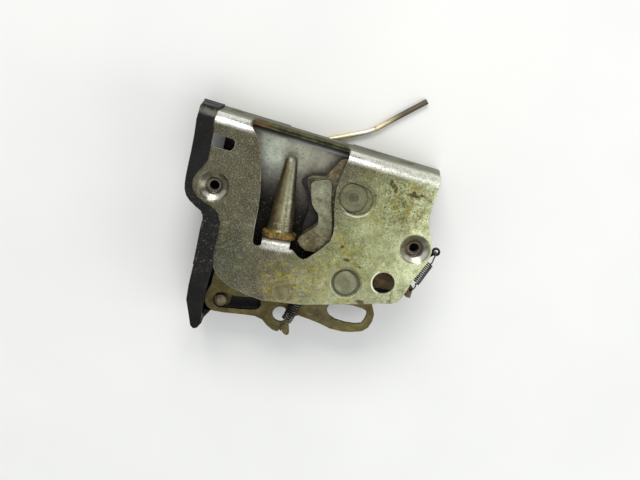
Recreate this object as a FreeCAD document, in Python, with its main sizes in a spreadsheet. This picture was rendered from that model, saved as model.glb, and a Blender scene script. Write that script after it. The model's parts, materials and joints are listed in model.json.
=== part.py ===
import FreeCAD, Part
import math
import os
import re
import Sketcher
from FreeCAD import Vector, Placement, Rotation

# Vehicle door latch assembly, millimetres.
# Modelled with the outer face at z 0 and the body below it. Written out with the origin
# at the midpoint between the two screw threads, at the mouths of the threads.
# +Z leaves the outer face, +Y points to the flange and the striker mouth, -X is left.

os.makedirs("parts", exist_ok=True)
doc = FreeCAD.newDocument("door_latch")
dims = doc.addObject("Spreadsheet::Sheet", "dims")

# Driving dimensions. _x and _y place an axis, _r is a radius, _bottom and _top are heights z.
SIZES = [
    # face plate
    ("face_thick", 2.0), ("flange_outer", 36.0), ("flange_drop", 41.0), ("face_bend", 6.0),
    ("mouth_depth", 12.0), ("lip_half", 6.9), ("recess_depth", 1.5), ("recess_floor", -3.5),
    ("hole_x", 41.4), ("hole_y", -21.4), ("hole_r", 5.5), ("rivet_r", 2.4),
    # back plate
    ("flange_inner_depth", 38.5), ("back_bend", 3.4), ("floor_top", -16.5),
    ("floor_thick", 2.0), ("eye_x", 63.2), ("eye_y", -0.9),
    # screw cups and weld nuts
    ("screw_half", 51.0), ("screw_skew", 1.0), ("screw_bore", 2.5), ("dish_wide", 7.5),
    ("dish_neck", 4.2), ("dish_depth", 2.6), ("cup_bottom", -4.2), ("nut_height", 4.3),
    ("nut_half", 5.6), ("nut_pass", 3.3),
    # fork
    ("fork_x", 14.9), ("fork_y", 14.7), ("fork_pin_r", 4.5), ("fork_head_r", 7.0),
    ("fork_bottom", -12.7), ("fork_base", 4.5), ("fork_step", -8.2), ("fork_pad", 4.4),
    ("fork_wire", 0.45), ("fork_coil", 6.6), ("bumper_high", 3.3),
    # pawl and its lift pin
    ("pawl_x", 23.5), ("pawl_y", -26.8), ("pawl_pin_r", 3.5), ("pawl_head_r", 6.1),
    ("pawl_bottom", -12.2), ("pawl_thick", 3.4), ("pawl_wire", 0.3), ("pawl_coil", 1.8),
    ("lift_x", 34.4), ("lift_y", -21.8), ("lift_pin_r", 2.0),
    # release lever
    ("release_x", -5.5), ("release_y", -40.1), ("release_pin_r", 3.2),
    ("release_collar_r", 5.0), ("release_bottom", -21.6), ("release_thick", 2.0),
    ("release_wire", 0.36), ("release_coil", 2.45),
    # lock lever, link pin and rod
    ("lock_x", -36.8), ("lock_y", 7.3), ("lock_pin_r", 3.0), ("lock_bottom", -25.6),
    ("lock_thick", 2.0), ("link_x", -33.7), ("link_y", -58.7), ("link_pin_r", 1.5),
    ("link_head_r", 3.0), ("rod_x", -32.9), ("rod_y", 29.0), ("rod_r", 1.4),
    ("rod_hole_r", 1.5), ("pivot_play", 0.05),
    # guide cone
    ("cone_tilt", 6.6), ("cone_axis", -9.3), ("cone_base_r", 6.5), ("cone_tip_r", 2.75),
    ("cone_long", 35.0), ("collar_r", 8.5), ("collar_flat", 6.9),
    # side shield
    ("shield_top", 1.2), ("shield_floor", -28.6), ("shield_base", 1.4),
]
for row, (alias, number) in enumerate(SIZES, 1):
    dims.set("A%d" % row, alias)
    dims.set("B%d" % row, str(number))
    dims.setAlias("B%d" % row, alias)
doc.recompute()


# ---------------------------------------------------------------- sizes and expressions
def size(alias):
    return float(dims.get(alias))


def linked(expression):
    """expression with every alias pointed at the sheet"""
    return re.sub(r"([a-z_]+)", r"dims.\1", str(expression))


def value(expression):
    """number for sums and differences of aliases and numbers"""
    total = 0.0
    for sign, term in re.findall(r"([+-]?)\s*([\w.]+)", str(expression)):
        number = size(term) if term[0].isalpha() else float(term)
        total += -number if sign == "-" else number
    return total


def place(axis):
    """point in plan where a named axis stands"""
    return Vector(size(axis + "_x"), size(axis + "_y"), 0)


def disc(axis, radius):
    """circle entry centred on a named axis"""
    return (axis + "_x", axis + "_y", radius)


# ---------------------------------------------------------------- plane geometry
def direction(angle):
    return Vector(math.cos(math.radians(angle)), math.sin(math.radians(angle)), 0)


def around(centre, polar):
    """points from (angle, radius) pairs about a centre"""
    return [centre + direction(angle) * radius for angle, radius in polar]


def shifted(centre, offsets):
    return [centre + Vector(x, y, 0) for x, y in offsets]


def distance_angle(centre, point):
    """distance and bearing in degrees of a point seen from a centre"""
    arm = point - centre
    return math.hypot(arm.x, arm.y), math.degrees(math.atan2(arm.y, arm.x))


def corner(before, vertex, after, radius, share):
    """start, middle and end of a corner arc that takes at most a share of either side"""
    back, ahead = before - vertex, after - vertex
    half_angle = back.getAngle(ahead) / 2
    cut = radius / math.tan(half_angle)
    limit = share * min(back.Length, ahead.Length)
    if cut > limit:
        cut = limit
        radius = cut * math.tan(half_angle)
    back.normalize()
    ahead.normalize()
    bisector = back + ahead
    bisector.normalize()
    middle = vertex + bisector * (radius / math.sin(half_angle) - radius)
    return vertex + back * cut, middle, vertex + ahead * cut


def outline(points, radius=0.0):
    """closed loop of straight runs; radius is one number or a list, one for each corner"""
    count = len(points)
    radii = radius if isinstance(radius, list) else [radius] * count
    vertices = [Vector(p[0], p[1], 0) for p in points]
    corners = []
    for i in range(count):
        before, vertex, after = vertices[i - 1], vertices[i], vertices[(i + 1) % count]
        half_angle = (before - vertex).getAngle(after - vertex) / 2
        # nearly straight corners stay sharp
        if radii[i] <= 0 or half_angle > math.pi / 2 - 0.01:
            corners.append((vertex,))
        else:
            corners.append(corner(before, vertex, after, radii[i], 0.46))
    loop = []
    for i in range(count):
        if len(corners[i]) == 3:
            loop.append(Part.Arc(*corners[i]))
        end, following = corners[i][-1], corners[(i + 1) % count][0]
        if (following - end).Length > 1e-6:
            loop.append(Part.LineSegment(end, following))
    return loop


def bent_profile(first_y, top, thick, outer, drop, bend):
    """section of a sheet that runs along +Y and bends down into a flange; bend is outside"""
    diagonal = math.sqrt(0.5)
    inside = bend - thick
    bend_y, bend_z = outer - bend, top - bend

    def at(y, z):
        return Vector(y, z, 0)

    def on_bend(radius):
        return at(bend_y + radius * diagonal, bend_z + radius * diagonal)

    return [
        Part.LineSegment(at(first_y, top), at(bend_y, top)),
        Part.Arc(at(bend_y, top), on_bend(bend), at(outer, bend_z)),
        Part.LineSegment(at(outer, bend_z), at(outer, -drop)),
        Part.LineSegment(at(outer, -drop), at(outer - thick, -drop)),
        Part.LineSegment(at(outer - thick, -drop), at(outer - thick, bend_z)),
        Part.Arc(at(outer - thick, bend_z), on_bend(inside), at(bend_y, top - thick)),
        Part.LineSegment(at(bend_y, top - thick), at(first_y, top - thick)),
        Part.LineSegment(at(first_y, top - thick), at(first_y, top)),
    ]


def arc_slot(centre, radius, start, end, half_width):
    """slot with round ends that follows an arc from start to end degrees"""
    def at(reach, angle):
        return centre + direction(angle) * reach

    middle = 0.5 * (start + end)
    outer, inner = radius + half_width, radius - half_width
    start_tip = at(radius, start) + direction(start - 90) * half_width
    end_tip = at(radius, end) + direction(end + 90) * half_width
    return [Part.Arc(at(outer, start), at(outer, middle), at(outer, end)),
            Part.Arc(at(outer, end), end_tip, at(inner, end)),
            Part.Arc(at(inner, end), at(inner, middle), at(inner, start)),
            Part.Arc(at(inner, start), start_tip, at(outer, start))]


def long_slot(centre, angle, half_length, half_width):
    """straight slot with round ends"""
    along = direction(angle)
    side = Vector(-along.y, along.x, 0) * half_width
    tip = along * half_width
    far, near = centre + along * half_length, centre - along * half_length
    return [Part.LineSegment(near - side, far - side),
            Part.Arc(far - side, far + tip, far + side),
            Part.LineSegment(far + side, near + side),
            Part.Arc(near + side, near - tip, near - side)]


def tapered_slot(centre, radius, start, end, half_start, half_end):
    """points of an arc slot whose half width changes over its first three sevenths"""
    steps = 7
    outer, inner = [], []
    for i in range(steps + 1):
        ray = direction(start + (end - start) * i / steps)
        half = half_start + (half_end - half_start) * min(1.0, i / 3.0)
        outer.append(centre + ray * (radius + half))
        inner.append(centre + ray * (radius - half))

    def cap(angle, half, side):
        ray = direction(angle)
        along = Vector(-ray.y, ray.x, 0) * side
        turns = [math.radians(turn) for turn in (35, 70, 110, 145)]
        return [centre + ray * radius + (along * math.sin(turn) + ray * math.cos(turn)) * half
                for turn in turns]

    return outer + cap(end, half_end, 1) + inner[::-1] + cap(start, half_start, -1)[::-1]


# ---------------------------------------------------------------- sketches and features
# A frame is an origin plane and an offset on it.
XY = ("XY_Plane", Placement())
ABOVE_FACE = "face_thick - 1"  # cuts into the face start here, clear of it
BLANK = [(-90, -90), (90, -90), (90, 60), (-90, 60)]  # covers the whole latch in plan


def on_xz(y, x=0.0):
    """upright frame at y: sketch x is X, sketch y is Z, pads grow towards -Y"""
    return ("XZ_Plane", Placement(Vector(x, 0, -y), Rotation()))


def on_yz(x):
    """upright frame at x: sketch x is Y, sketch y is Z, pads grow towards +X"""
    return ("YZ_Plane", Placement(Vector(0, 0, x), Rotation()))


def new_body(label):
    return doc.addObject("PartDesign::Body", label)


def add_circle(sketch, x, y, radius):
    """circle held by centre and radius constraints read from the sheet"""
    index = sketch.addGeometry(Part.Circle(Vector(0, 0, 0), Vector(0, 0, 1), 1.0), False)
    origin_to_centre = (-1, 1, index, 3)
    for kind, target, expression in (("DistanceX", origin_to_centre, x),
                                     ("DistanceY", origin_to_centre, y),
                                     ("Radius", (index,), radius)):
        constraint = Sketcher.Constraint(kind, *target, value(expression))
        number = sketch.addConstraint(constraint)
        sketch.setExpression("Constraints[%d]" % number, linked(expression))


def add_sketch(body, name, loops, z=None, frame=XY, circles=()):
    role, offset = frame
    sketch = body.newObject("Sketcher::SketchObject", name)
    origin_plane = [item for item in body.Origin.OriginFeatures if item.Role == role][0]
    sketch.AttachmentSupport = [(origin_plane, "")]
    sketch.MapMode = "FlatFace"
    sketch.AttachmentOffset = offset
    if z is not None:
        sketch.setExpression("AttachmentOffset.Base.z", linked(z))
    for loop in loops:
        sketch.addGeometry(loop, False)
    for x, y, radius in circles:
        add_circle(sketch, x, y, radius)
    return sketch


def add_feature(body, kind, name, profile):
    feature = body.newObject("PartDesign::" + kind, name)
    feature.Profile = profile
    profile.Visibility = False
    body.Tip = feature
    return feature


def pad(body, sketch_name, name, loops, z, length, frame=XY, circles=()):
    profile = add_sketch(body, sketch_name, loops, z, frame, circles)
    feature = add_feature(body, "Pad", name, profile)
    feature.setExpression("Length", linked(length))


def cut(body, sketch_name, name, loops, z, depth, frame=XY, circles=(), reverse=False):
    profile = add_sketch(body, sketch_name, loops, z, frame, circles)
    feature = add_feature(body, "Pocket", name, profile)
    feature.setExpression("Length", linked(depth))
    if reverse:
        feature.Reversed = True


def trim(body, sketch_name, name, points, radius, z, depth):
    """cut away everything outside an outline"""
    cut(body, sketch_name, name, [outline(BLANK), outline(points, radius)], z, depth)


def revolve(body, kind, name, profile):
    feature = add_feature(body, kind, name, profile)
    feature.ReferenceAxis = (profile, ["V_Axis"])
    feature.Angle = 360.0


def revolve_upright(body, kind, sketch_name, name, x, y, points):
    """turn (radius, z) points about the vertical line at x, y"""
    frame = on_xz(value(y), value(x))
    profile = add_sketch(body, sketch_name, [outline(points)], frame=frame)
    profile.setExpression("AttachmentOffset.Base.x", linked(x))
    revolve(body, kind, name, profile)


def plate(label, loops, z, thick, circles=()):
    body = new_body(label)
    pad(body, label + "_outline", label + "_pad", loops, z, thick, circles=circles)
    return body


def ring(label, axis, z, thick, outer):
    """washer or bush round the pin of a named axis"""
    plate(label, [], z, thick, [disc(axis, outer), disc(axis, axis + "_pin_r")])


def turned_pin(label, axis, points):
    body = new_body(label)
    revolve_upright(body, "Revolution", label + "_profile", label + "_turn",
                    axis + "_x", axis + "_y", points)


# ---------------------------------------------------------------- shared layout
SCREWS = [("left", "-screw_half", "screw_skew"), ("right", "screw_half", "-screw_skew")]
FLANGE_RIVETS = [(-51.4, -31.0), (20.0, -31.0), (38.0, -27.0)]  # x, z
RIVET_HOLES = [(x, z, "rivet_r") for x, z in FLANGE_RIVETS]
SHEET_START_X = -66.0
SHEET_LENGTH = "screw_half + 77"
FACE_CUT_Y = 30.0  # flange cuts start behind the flange and run to +Y
BACK_CUT_Y = 28.0
FLANGE_CUT = "face_thick + 10"
LIP_CENTRE = Vector(-14.95, -16.2, 0)
CONE_FOOT = Vector(-14.9, -10.2, 0)  # where the cone axis crosses its profile origin

# ---------------------------------------------------------------- face plate
# outlines in plan: x, y
FACE = [
    (-62.6, 45), (-62.6, 28), (-61.6, 20), (-61.8, 14), (-62.4, 8), (-62.6, 2), (-62.2, -1.5),
    (-60.6, -4.6), (-57.6, -7.3), (-53.0, -9.0), (-49.2, -10.3), (-46.7, -12.6), (-45.0, -16.0),
    (-44.3, -22), (-44.0, -29), (-42.6, -35), (-39.9, -38.7), (-38.0, -40.8), (-36.1, -42.2),
    (-33.1, -43.6), (-30.4, -44.5), (-26.5, -45.4), (-22.9, -46.2), (-18.5, -46.6),
    (-14.3, -47.0), (-9.5, -46.3), (-2.1, -44.9), (5.2, -43.6), (24.1, -37.9), (41.1, -32.5),
    (48.2, -30.4), (50.7, -28.6), (52.1, -26.6), (53.4, -22.4), (54.3, -17.4), (56.8, -10.8),
    (58.9, -5.0), (59.2, 0.3), (58.1, 3.7), (55.6, 8.2), (53.9, 12.8), (52.6, 17.5),
    (52.5, 22.6), (52.7, 27.8), (52.8, 33.0), (52.8, 36.6), (52.8, 45)]
MOUTH = [
    (-43.6, 48), (-42.5, 37), (-41, 33.5), (-36.9, 29.4), (-34.2, 24.3), (-30.7, 12.8),
    (-28.6, 3.4), (-27.5, -3.9), (-26.9, -11.4), (-26.3, -16.4), (-25.9, -19.0), (-25.3, -20.6),
    (-23.7, -21.4), (-22.2, -20.7), (-21.5, -19.9), (-7.5, -18.5), (-6.1, -18.2), (-3.4, -20.2),
    (-2.1, -21.0), (0.2, -21.4), (1.9, -20.2), (6.7, -14.3), (10.2, -9.0), (10.6, -5.3),
    (9.9, -0.4), (7.7, 6.7), (6.6, 11.4), (5.8, 16.3), (6.2, 22.4), (6.6, 27.5), (7.1, 32.7),
    (7.3, 37.1), (7.6, 48)]
WINDOW = [(-59.2, 25.8), (-48.0, 25.5), (-46.6, 24.4), (-46.6, 21.6), (-47.7, 19.6), (-59.2, 19.4)]
STRIP = [(38.6, -24), (39.6, -37), (48.0, -35), (46.6, -23)]
# outlines on the flange: x, z
ROD_NOTCH = [(-24, -60), (10, -60), (10, -35.4), (-24, -35.4)]
FLANGE_CORNER = [(-58.0, -50), (-70, -50), (-70, -36)]
FLANGE_END = [(50.0, -7.0), (52.8, -7.0), (56.9, -38.4), (56.0, -41.0), (50.0, -41.0)]


def bent_sheet(body, prefix, first_y, top, thick, outer, drop, bend):
    """long sheet with a flange, cut to its outline afterwards"""
    profile = bent_profile(first_y, top, thick, outer, drop, bend)
    pad(body, prefix + "_profile", prefix + "_sheet", [profile], None, SHEET_LENGTH,
        on_yz(SHEET_START_X))


def press_screw_cups(body):
    """cups for the countersunk screws: press the metal down, then turn out the dish"""
    bottom, wide, neck = size("cup_bottom"), size("dish_wide"), size("dish_neck")
    depth, hole = size("dish_depth"), size("nut_pass")
    cup = [(hole, -1.9), (wide + 0.5, -1.9), (neck + 1.5, bottom), (hole, bottom)]
    dish = [(0, 1), (wide + 0.5, 1), (wide + 0.1, 0.0), (neck, -depth), (hole, -depth - 0.3),
            (hole, bottom - 1), (0, bottom - 1)]
    for side, x, y in SCREWS:
        revolve_upright(body, "Revolution", side + "_cup", side + "_cup_press", x, y, cup)
        revolve_upright(body, "Groove", side + "_dish", side + "_dish_cut", x, y, dish)


def dee(radius, open_x):
    """D shape beside the fork rivet, round towards +X and flat at open_x"""
    centre = place("fork") + Vector(2.4, -0.2, 0)
    up, right = Vector(0, radius, 0), Vector(radius, 0, 0)
    top_open = Vector(open_x, centre.y + radius, 0)
    low_open = Vector(open_x, centre.y - radius, 0)
    return [Part.LineSegment(top_open, centre + up),
            Part.Arc(centre + up, centre + right, centre - up),
            Part.LineSegment(centre - up, low_open),
            Part.LineSegment(low_open, top_open)]


def make_face_plate():
    face = new_body("face_plate")
    thick = size("face_thick")
    flange_outer = size("flange_outer")
    bent_sheet(face, "face", -62.0, 0.0, thick, flange_outer, size("flange_drop"),
               size("face_bend"))
    trim(face, "face_outline", "face_trim", FACE, 3.4, ABOVE_FACE, "flange_drop + 10")
    cut(face, "mouth_outline", "mouth_cut", [outline(MOUTH, 1.6)], ABOVE_FACE,
        "mouth_depth + 1")

    # bent lip that carries the guide cone
    tilt = size("cone_tilt")
    tilted = Rotation(Vector(0, 1, 0), tilt)
    start = LIP_CENTRE - direction(tilt) * size("lip_half")
    lip_frame = ("YZ_Plane", Placement(Vector(start.y, 0, start.x), tilted))
    lip = bent_profile(-8.0, 0.0, thick, outer=0.5, drop=15.8, bend=3.5)
    pad(face, "lip_profile", "lip", [lip], None, "2 * lip_half", lip_frame)

    # window beside the left screw
    cut(face, "window_outline", "window", [outline(WINDOW, 0.7)], ABOVE_FACE, "face_thick + 2")
    press_screw_cups(face)

    # D-shaped seat round the fork rivet, open to the mouth, and round seat for the pawl rivet
    boss_height = "-recess_floor - 1.9"
    pad(face, "fork_seat_press", "fork_seat_boss", [dee(8.6, 7.6)], "recess_floor",
        boss_height)
    cut(face, "fork_seat_outline", "fork_seat", [dee(7.45, 3.0)], ABOVE_FACE,
        "recess_depth + 1")
    pad(face, "pawl_seat_press", "pawl_seat_boss", [], "recess_floor", boss_height,
        circles=[disc("pawl", "pawl_head_r + 2.4")])
    cut(face, "pawl_seat_outline", "pawl_seat", [], ABOVE_FACE, "recess_depth + 1",
        circles=[disc("pawl", "pawl_head_r + 1.2")])

    # through holes, a shallow recess and a round mark
    cut(face, "round_hole", "view_hole", [], ABOVE_FACE, "face_thick + 3",
        circles=[disc("hole", "hole_r")])
    cut(face, "strip_recess", "strip_press", [outline(STRIP, 0.6)], ABOVE_FACE,
        "face_thick - 0.4")
    cut(face, "pin_holes", "pin_hole_cut", [], ABOVE_FACE, "face_thick + 3",
        circles=[disc("fork", "fork_pin_r"), disc("pawl", "pawl_pin_r"),
                 disc("release", "release_pin_r + 1")])
    cut(face, "coin_mark", "coin", [], ABOVE_FACE, "face_thick - 0.75",
        circles=[(-41.2, -23.4, 3.9)])

    # flange: wide notch for the rod, clipped left corner, rivet holes
    behind = on_xz(FACE_CUT_Y)
    cut(face, "rod_notch", "rod_notch_cut", [outline(ROD_NOTCH, 2.0)], None, FLANGE_CUT, behind)
    cut(face, "flange_corners", "flange_corner_cut", [outline(FLANGE_CORNER)], None,
        FLANGE_CUT, behind)
    cut(face, "flange_holes", "flange_hole_cut", [], None, FLANGE_CUT, behind, RIVET_HOLES)
    # the right end of the flange flares as it drops
    pad(face, "flange_end", "flange_end_pad", [outline(FLANGE_END, 0.8)], None, "face_thick",
        on_xz(flange_outer))

    # hole in the lip for the cone shank
    hole = CONE_FOOT - direction(tilt + 90) * 3.0
    hole_frame = ("XZ_Plane", Placement(Vector(hole.x, 0, -hole.y), tilted))
    shank_hole = Part.Circle(Vector(0, size("cone_axis"), 0), Vector(0, 0, 1), 3.03)
    cut(face, "lip_hole", "lip_hole_cut", [[shank_hole]], None, 7, hole_frame, reverse=True)


# ---------------------------------------------------------------- back plate
BACK = [
    (-55.5, 45), (-54.5, 30), (-53.0, 23.0), (-52.6, 15.0), (-55.4, 9.0), (-57.2, 2.0),
    (-55.6, -5.0), (-50.6, -8.2), (-44.5, -10.5), (-40, -16), (-35, -28), (-27, -36),
    (-16, -43), (-9, -46), (-1, -45.5), (0.6, -43), (0.9, -37.5), (4.0, -36.8), (4.4, -41.6),
    (8.4, -41.6), (9.0, -36.2), (24, -36.9), (38, -36.2), (46.5, -34.0), (51.5, -28.0),
    (53, -23.5), (54, -17), (55.6, -10), (57.2, 0), (54.5, 8), (51.2, 14), (50.6, 30),
    (48.6, 36), (48, 45)]
FLANGE_WINDOW = [(-48, -60), (10, -60), (10, -33.6), (-18, -33.6), (-18, -22.3), (-48, -22.3)]
LUG_LEG = [(53.2, -8.6), (54.9, -10.3), (57.2, -8.0), (55.5, -6.3)]
LUG_STRIP = [(53.2, -8.6), (54.9, -10.3), (62.75, -2.65), (61.15, -0.95)]


def make_back_plate():
    back = new_body("back_plate")
    bent_sheet(back, "back", -60.0, size("floor_top"), size("floor_thick"),
               size("flange_outer") - size("face_thick"), size("flange_inner_depth"),
               size("back_bend"))
    trim(back, "back_outline", "back_trim", BACK, 1.6, "floor_top + 1", "flange_drop")

    # arc slot for the lift pin about the pawl axis, pin holes and a spring hole
    reach, bearing = distance_angle(place("pawl"), place("lift"))
    slot = arc_slot(place("pawl"), reach, bearing - 17, bearing + 7, size("lift_pin_r") + 0.9)
    cut(back, "floor_openings", "floor_cut", [slot], "floor_top + 1", "floor_thick + 3",
        circles=[disc("fork", "fork_pin_r - 1"), disc("pawl", "pawl_pin_r - 1"),
                 disc("release", "release_pin_r"), disc("lock", "lock_pin_r"),
                 (6.4, -39.4, 0.9)])

    # flange: stepped window and rivet holes
    behind = on_xz(BACK_CUT_Y)
    cut(back, "flange_window", "flange_window_cut", [outline(FLANGE_WINDOW, 1.6)], None,
        FLANGE_CUT, behind)
    cut(back, "back_flange_holes", "back_flange_hole_cut", [], None, FLANGE_CUT, behind,
        RIVET_HOLES)

    # spring anchor lug: leg, strip and eye
    lug_z = "floor_top + 5.2"
    lug_thick = 1.6
    pad(back, "lug_leg", "lug_leg_pad", [outline(LUG_LEG, 0.2)], "floor_top - 1", 7.9)
    pad(back, "lug_strip", "lug_strip_pad", [outline(LUG_STRIP, 0.2)], lug_z, lug_thick)
    pad(back, "lug_eye", "lug_eye_pad", [], lug_z, lug_thick, circles=[disc("eye", 2.1)])
    cut(back, "lug_eye_hole", "lug_eye_cut", [], "floor_top + 8", 4,
        circles=[disc("eye", 1.1)])


# ---------------------------------------------------------------- weld nuts
def make_weld_nuts():
    corner_reach = size("nut_half") / math.cos(math.pi / 6)
    for side, x, y in SCREWS:
        label = side + "_weld_nut"
        centre = Vector(value(x), value(y), 0)
        hexagon = around(centre, [(60 * i + 15, corner_reach) for i in range(6)])
        pad(new_body(label), label + "_hex", label + "_pad", [outline(hexagon, 0.4)],
            "cup_bottom - nut_height", "nut_height", circles=[(x, y, "screw_bore")])


# ---------------------------------------------------------------- guide cone
COLLAR_BOX = [(-40, -30), (15, -30), (15, 0), (-40, 0)]  # covers the collar, not the cone


def make_guide_cone():
    cone = new_body("guide_cone")
    base, tip = size("cone_base_r"), size("cone_tip_r")
    length, collar = size("cone_long"), size("collar_r")
    # radius, distance along the axis: shank head, shank, collar, cone
    profile_points = [
        (0, -8.9), (3.6, -8.9), (4.4, -8.3), (4.4, -7.5), (3.0, -7.5), (3.0, -5.44),
        (collar - 0.4, -5.44), (collar, -5.04), (collar, -3.2), (collar - 0.5, -2.7),
        (base + 0.6, -2.3), (base, -1.2), (tip + 0.35, length - 2.4),
        (tip - 0.2, length - 0.9), (tip - 1.1, length - 0.15), (0, length)]
    frame = ("XY_Plane", Placement(CONE_FOOT, Rotation(Vector(0, 0, 1), size("cone_tilt"))))
    profile = add_sketch(cone, "cone_profile", [outline(profile_points)], "cone_axis", frame)
    revolve(cone, "Revolution", "cone_turn", profile)
    cut(cone, "collar_flat_top", "collar_top_flat", [outline(COLLAR_BOX)],
        "cone_axis + collar_flat + 6", 6)
    cut(cone, "collar_flat_low", "collar_low_flat", [outline(COLLAR_BOX)],
        "cone_axis - collar_flat", 6)


# ---------------------------------------------------------------- pivots and washers
def make_pivots():
    """pins given as (radius, z) points"""
    floor = size("floor_top")
    underside = floor - size("floor_thick")
    seat = -size("recess_depth")

    pin, head = size("fork_pin_r"), size("fork_head_r")
    turned_pin("fork_pivot_rivet", "fork", [
        (0, -0.75), (2.1, -0.55), (2.5, -0.25), (head - 0.7, -0.25), (head, -0.75), (head, seat),
        (pin, seat), (pin, floor), (pin - 1, floor), (pin - 1, underside),
        (pin + 0.8, underside), (pin + 0.2, underside - 1.0), (0, underside - 1.0)])

    pin, head = size("pawl_pin_r"), size("pawl_head_r")
    turned_pin("pawl_pivot_rivet", "pawl", [
        (0, -0.55), (1.5, -0.4), (2.2, -0.3), (head - 0.6, -0.3), (head, -0.8), (head, seat),
        (pin, seat), (pin, floor), (pin - 1, floor), (pin - 1, underside),
        (pin + 0.8, underside), (pin + 0.2, underside - 0.9), (0, underside - 0.9)])

    pin, collar = size("release_pin_r"), size("release_collar_r")
    bottom = size("release_bottom")
    turned_pin("release_lever_stud", "release", [
        (0, -0.08), (pin + 1, -0.08), (pin + 1, -2.0), (collar, -2.0), (collar, floor),
        (pin, floor), (pin, bottom - 0.95), (pin + 2.2, bottom - 0.95),
        (pin + 1.6, bottom - 2.1), (0, bottom - 2.1)])

    pin, bottom = size("lock_pin_r"), size("lock_bottom")
    shoulder = bottom + size("lock_thick") + 0.05
    turned_pin("lock_lever_stud", "lock", [
        (0, floor + 1.0), (pin + 1.4, floor + 1.0), (pin + 1.9, floor), (pin, floor),
        (pin, underside), (pin + 2.2, underside), (pin + 2.2, shoulder), (pin, shoulder),
        (pin, bottom - 0.85), (pin + 2.0, bottom - 0.85), (pin + 1.4, bottom - 2.0),
        (0, bottom - 2.0)])


def make_rings():
    ring("release_lever_washer", "release", "release_bottom - 0.9", 0.85,
         "release_collar_r + 1.2")
    ring("release_lever_spacer", "release", "release_bottom + release_thick + 0.05",
         "-floor_thick + floor_top - release_bottom - release_thick - 0.05",
         "release_collar_r + 0.6")
    ring("lock_lever_washer", "lock", "lock_bottom - 0.8", 0.75, "lock_pin_r + 3.2")
    ring("fork_bush", "fork", "floor_top", "fork_bottom - floor_top - 0.05", "fork_pin_r + 1")
    ring("pawl_bush", "pawl", "floor_top", "pawl_bottom - floor_top - 0.05",
         "pawl_pin_r + 1.6")


# ---------------------------------------------------------------- flange rivets
def rivet_part(kind, name, position, **expressions):
    """primitive that stands along +Y from a position"""
    part = doc.addObject("Part::" + kind, name)
    for prop, expression in expressions.items():
        part.setExpression(prop, linked(expression))
    part.Placement = Placement(position, Rotation(Vector(1, 0, 0), -90))
    return part


def make_flange_rivets():
    """three separate rivets in one node"""
    outer = size("flange_outer")
    inner = outer - 2 * size("face_thick")
    tail_height = 0.9
    rivets = []
    for i, (x, z) in enumerate(FLANGE_RIVETS):
        shank = rivet_part("Cylinder", "flange_rivet_shank_%d" % i, Vector(x, inner, z),
                           Radius="rivet_r", Height="face_thick * 2")
        head = rivet_part("Cone", "flange_rivet_head_%d" % i, Vector(x, outer, z),
                          Radius1="rivet_r + 1.6", Radius2="rivet_r + 0.5")
        head.Height = 0.7
        tail = rivet_part("Cone", "flange_rivet_tail_%d" % i, Vector(x, inner - tail_height, z),
                          Radius1="rivet_r + 0.3", Radius2="rivet_r + 1.2")
        tail.Height = tail_height
        rivet = doc.addObject("Part::MultiFuse", "flange_rivet_%d" % i)
        rivet.Shapes = [shank, head, tail]
        rivets.append(rivet)
    doc.addObject("Part::Compound", "flange_rivets").Links = rivets


# ---------------------------------------------------------------- fork
# toothed edge about the fork axis: angle, radius
RATCHET = [
    (-90, 18.6), (-78, 18.0), (-68, 17.9), (-60.6, 18.0), (-60.0, 22.45), (-56.5, 22.3),
    (-51, 19.7), (-45, 18.8), (-38.6, 18.6), (-38.0, 22.45), (-34.5, 22.2), (-29.5, 19.6),
    (-20, 19.2), (-8, 19.2), (6, 19.2), (20, 19.0), (34, 18.8), (48, 18.6), (62, 18.5),
    (76, 18.4), (90, 18.3), (104, 18.2)]
# the rest of the outline before and after the toothed edge: x, y
FORK_LOWER = [
    (-3.4, 5.3), (-1.6, 3.3), (0.6, 1.9), (1.7, -0.9), (2.0, -3.4), (0.5, -5.4), (-2.0, -8.0),
    (-3.2, -10.0), (-3.0, -11.6), (-0.8, -12.6), (3.6, -12.2), (8.4, -10.0), (12.0, -6.4)]
FORK_UPPER = [
    (7.6, 30.8), (5.3, 30.2), (4.2, 29.3), (2.4, 25.7), (0.8, 22.6), (-0.4, 19.7),
    (-6.4, 18.4), (-8.7, 16.8), (-8.0, 14.0), (-5.3, 9.9)]
JAW = [
    (-5.0, 9.9), (-3.2, 5.6), (-1.2, 3.5), (0.9, 1.9), (2.0, -0.9), (2.3, -3.4), (0.8, -5.4),
    (-2.2, -8.9), (-4.9, -12.3), (-4.9, -13.8), (-3.0, -16.0), (0.2, -17.4), (4.8, -16.9),
    (8.8, -13.0), (10.7, -8.2), (9.7, -4.0), (8.3, 0.9), (6.3, 6.5), (4.5, 12.1), (3.5, 16.8),
    (2.5, 18.9), (1.0, 19.1), (-2.0, 18.2), (-5.1, 16.8), (-6.5, 15.1)]
JAW_STEP = [(-3.9, -8.4), (-1.9, -6.2), (9.4, -10.4), (8.7, -12.2)]
BUMPER = [
    (-11.2, 13.0), (-9.8, 15.6), (-7.4, 17.0), (-2.2, 13.6), (1.4, 4.0), (3.4, -1.0),
    (2.6, -7.2), (-1.5, -12.4), (-3.8, -12.4), (-4.2, -7.0), (-3.6, 0.5), (-5.8, 7.6),
    (-8.8, 11.0)]


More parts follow.
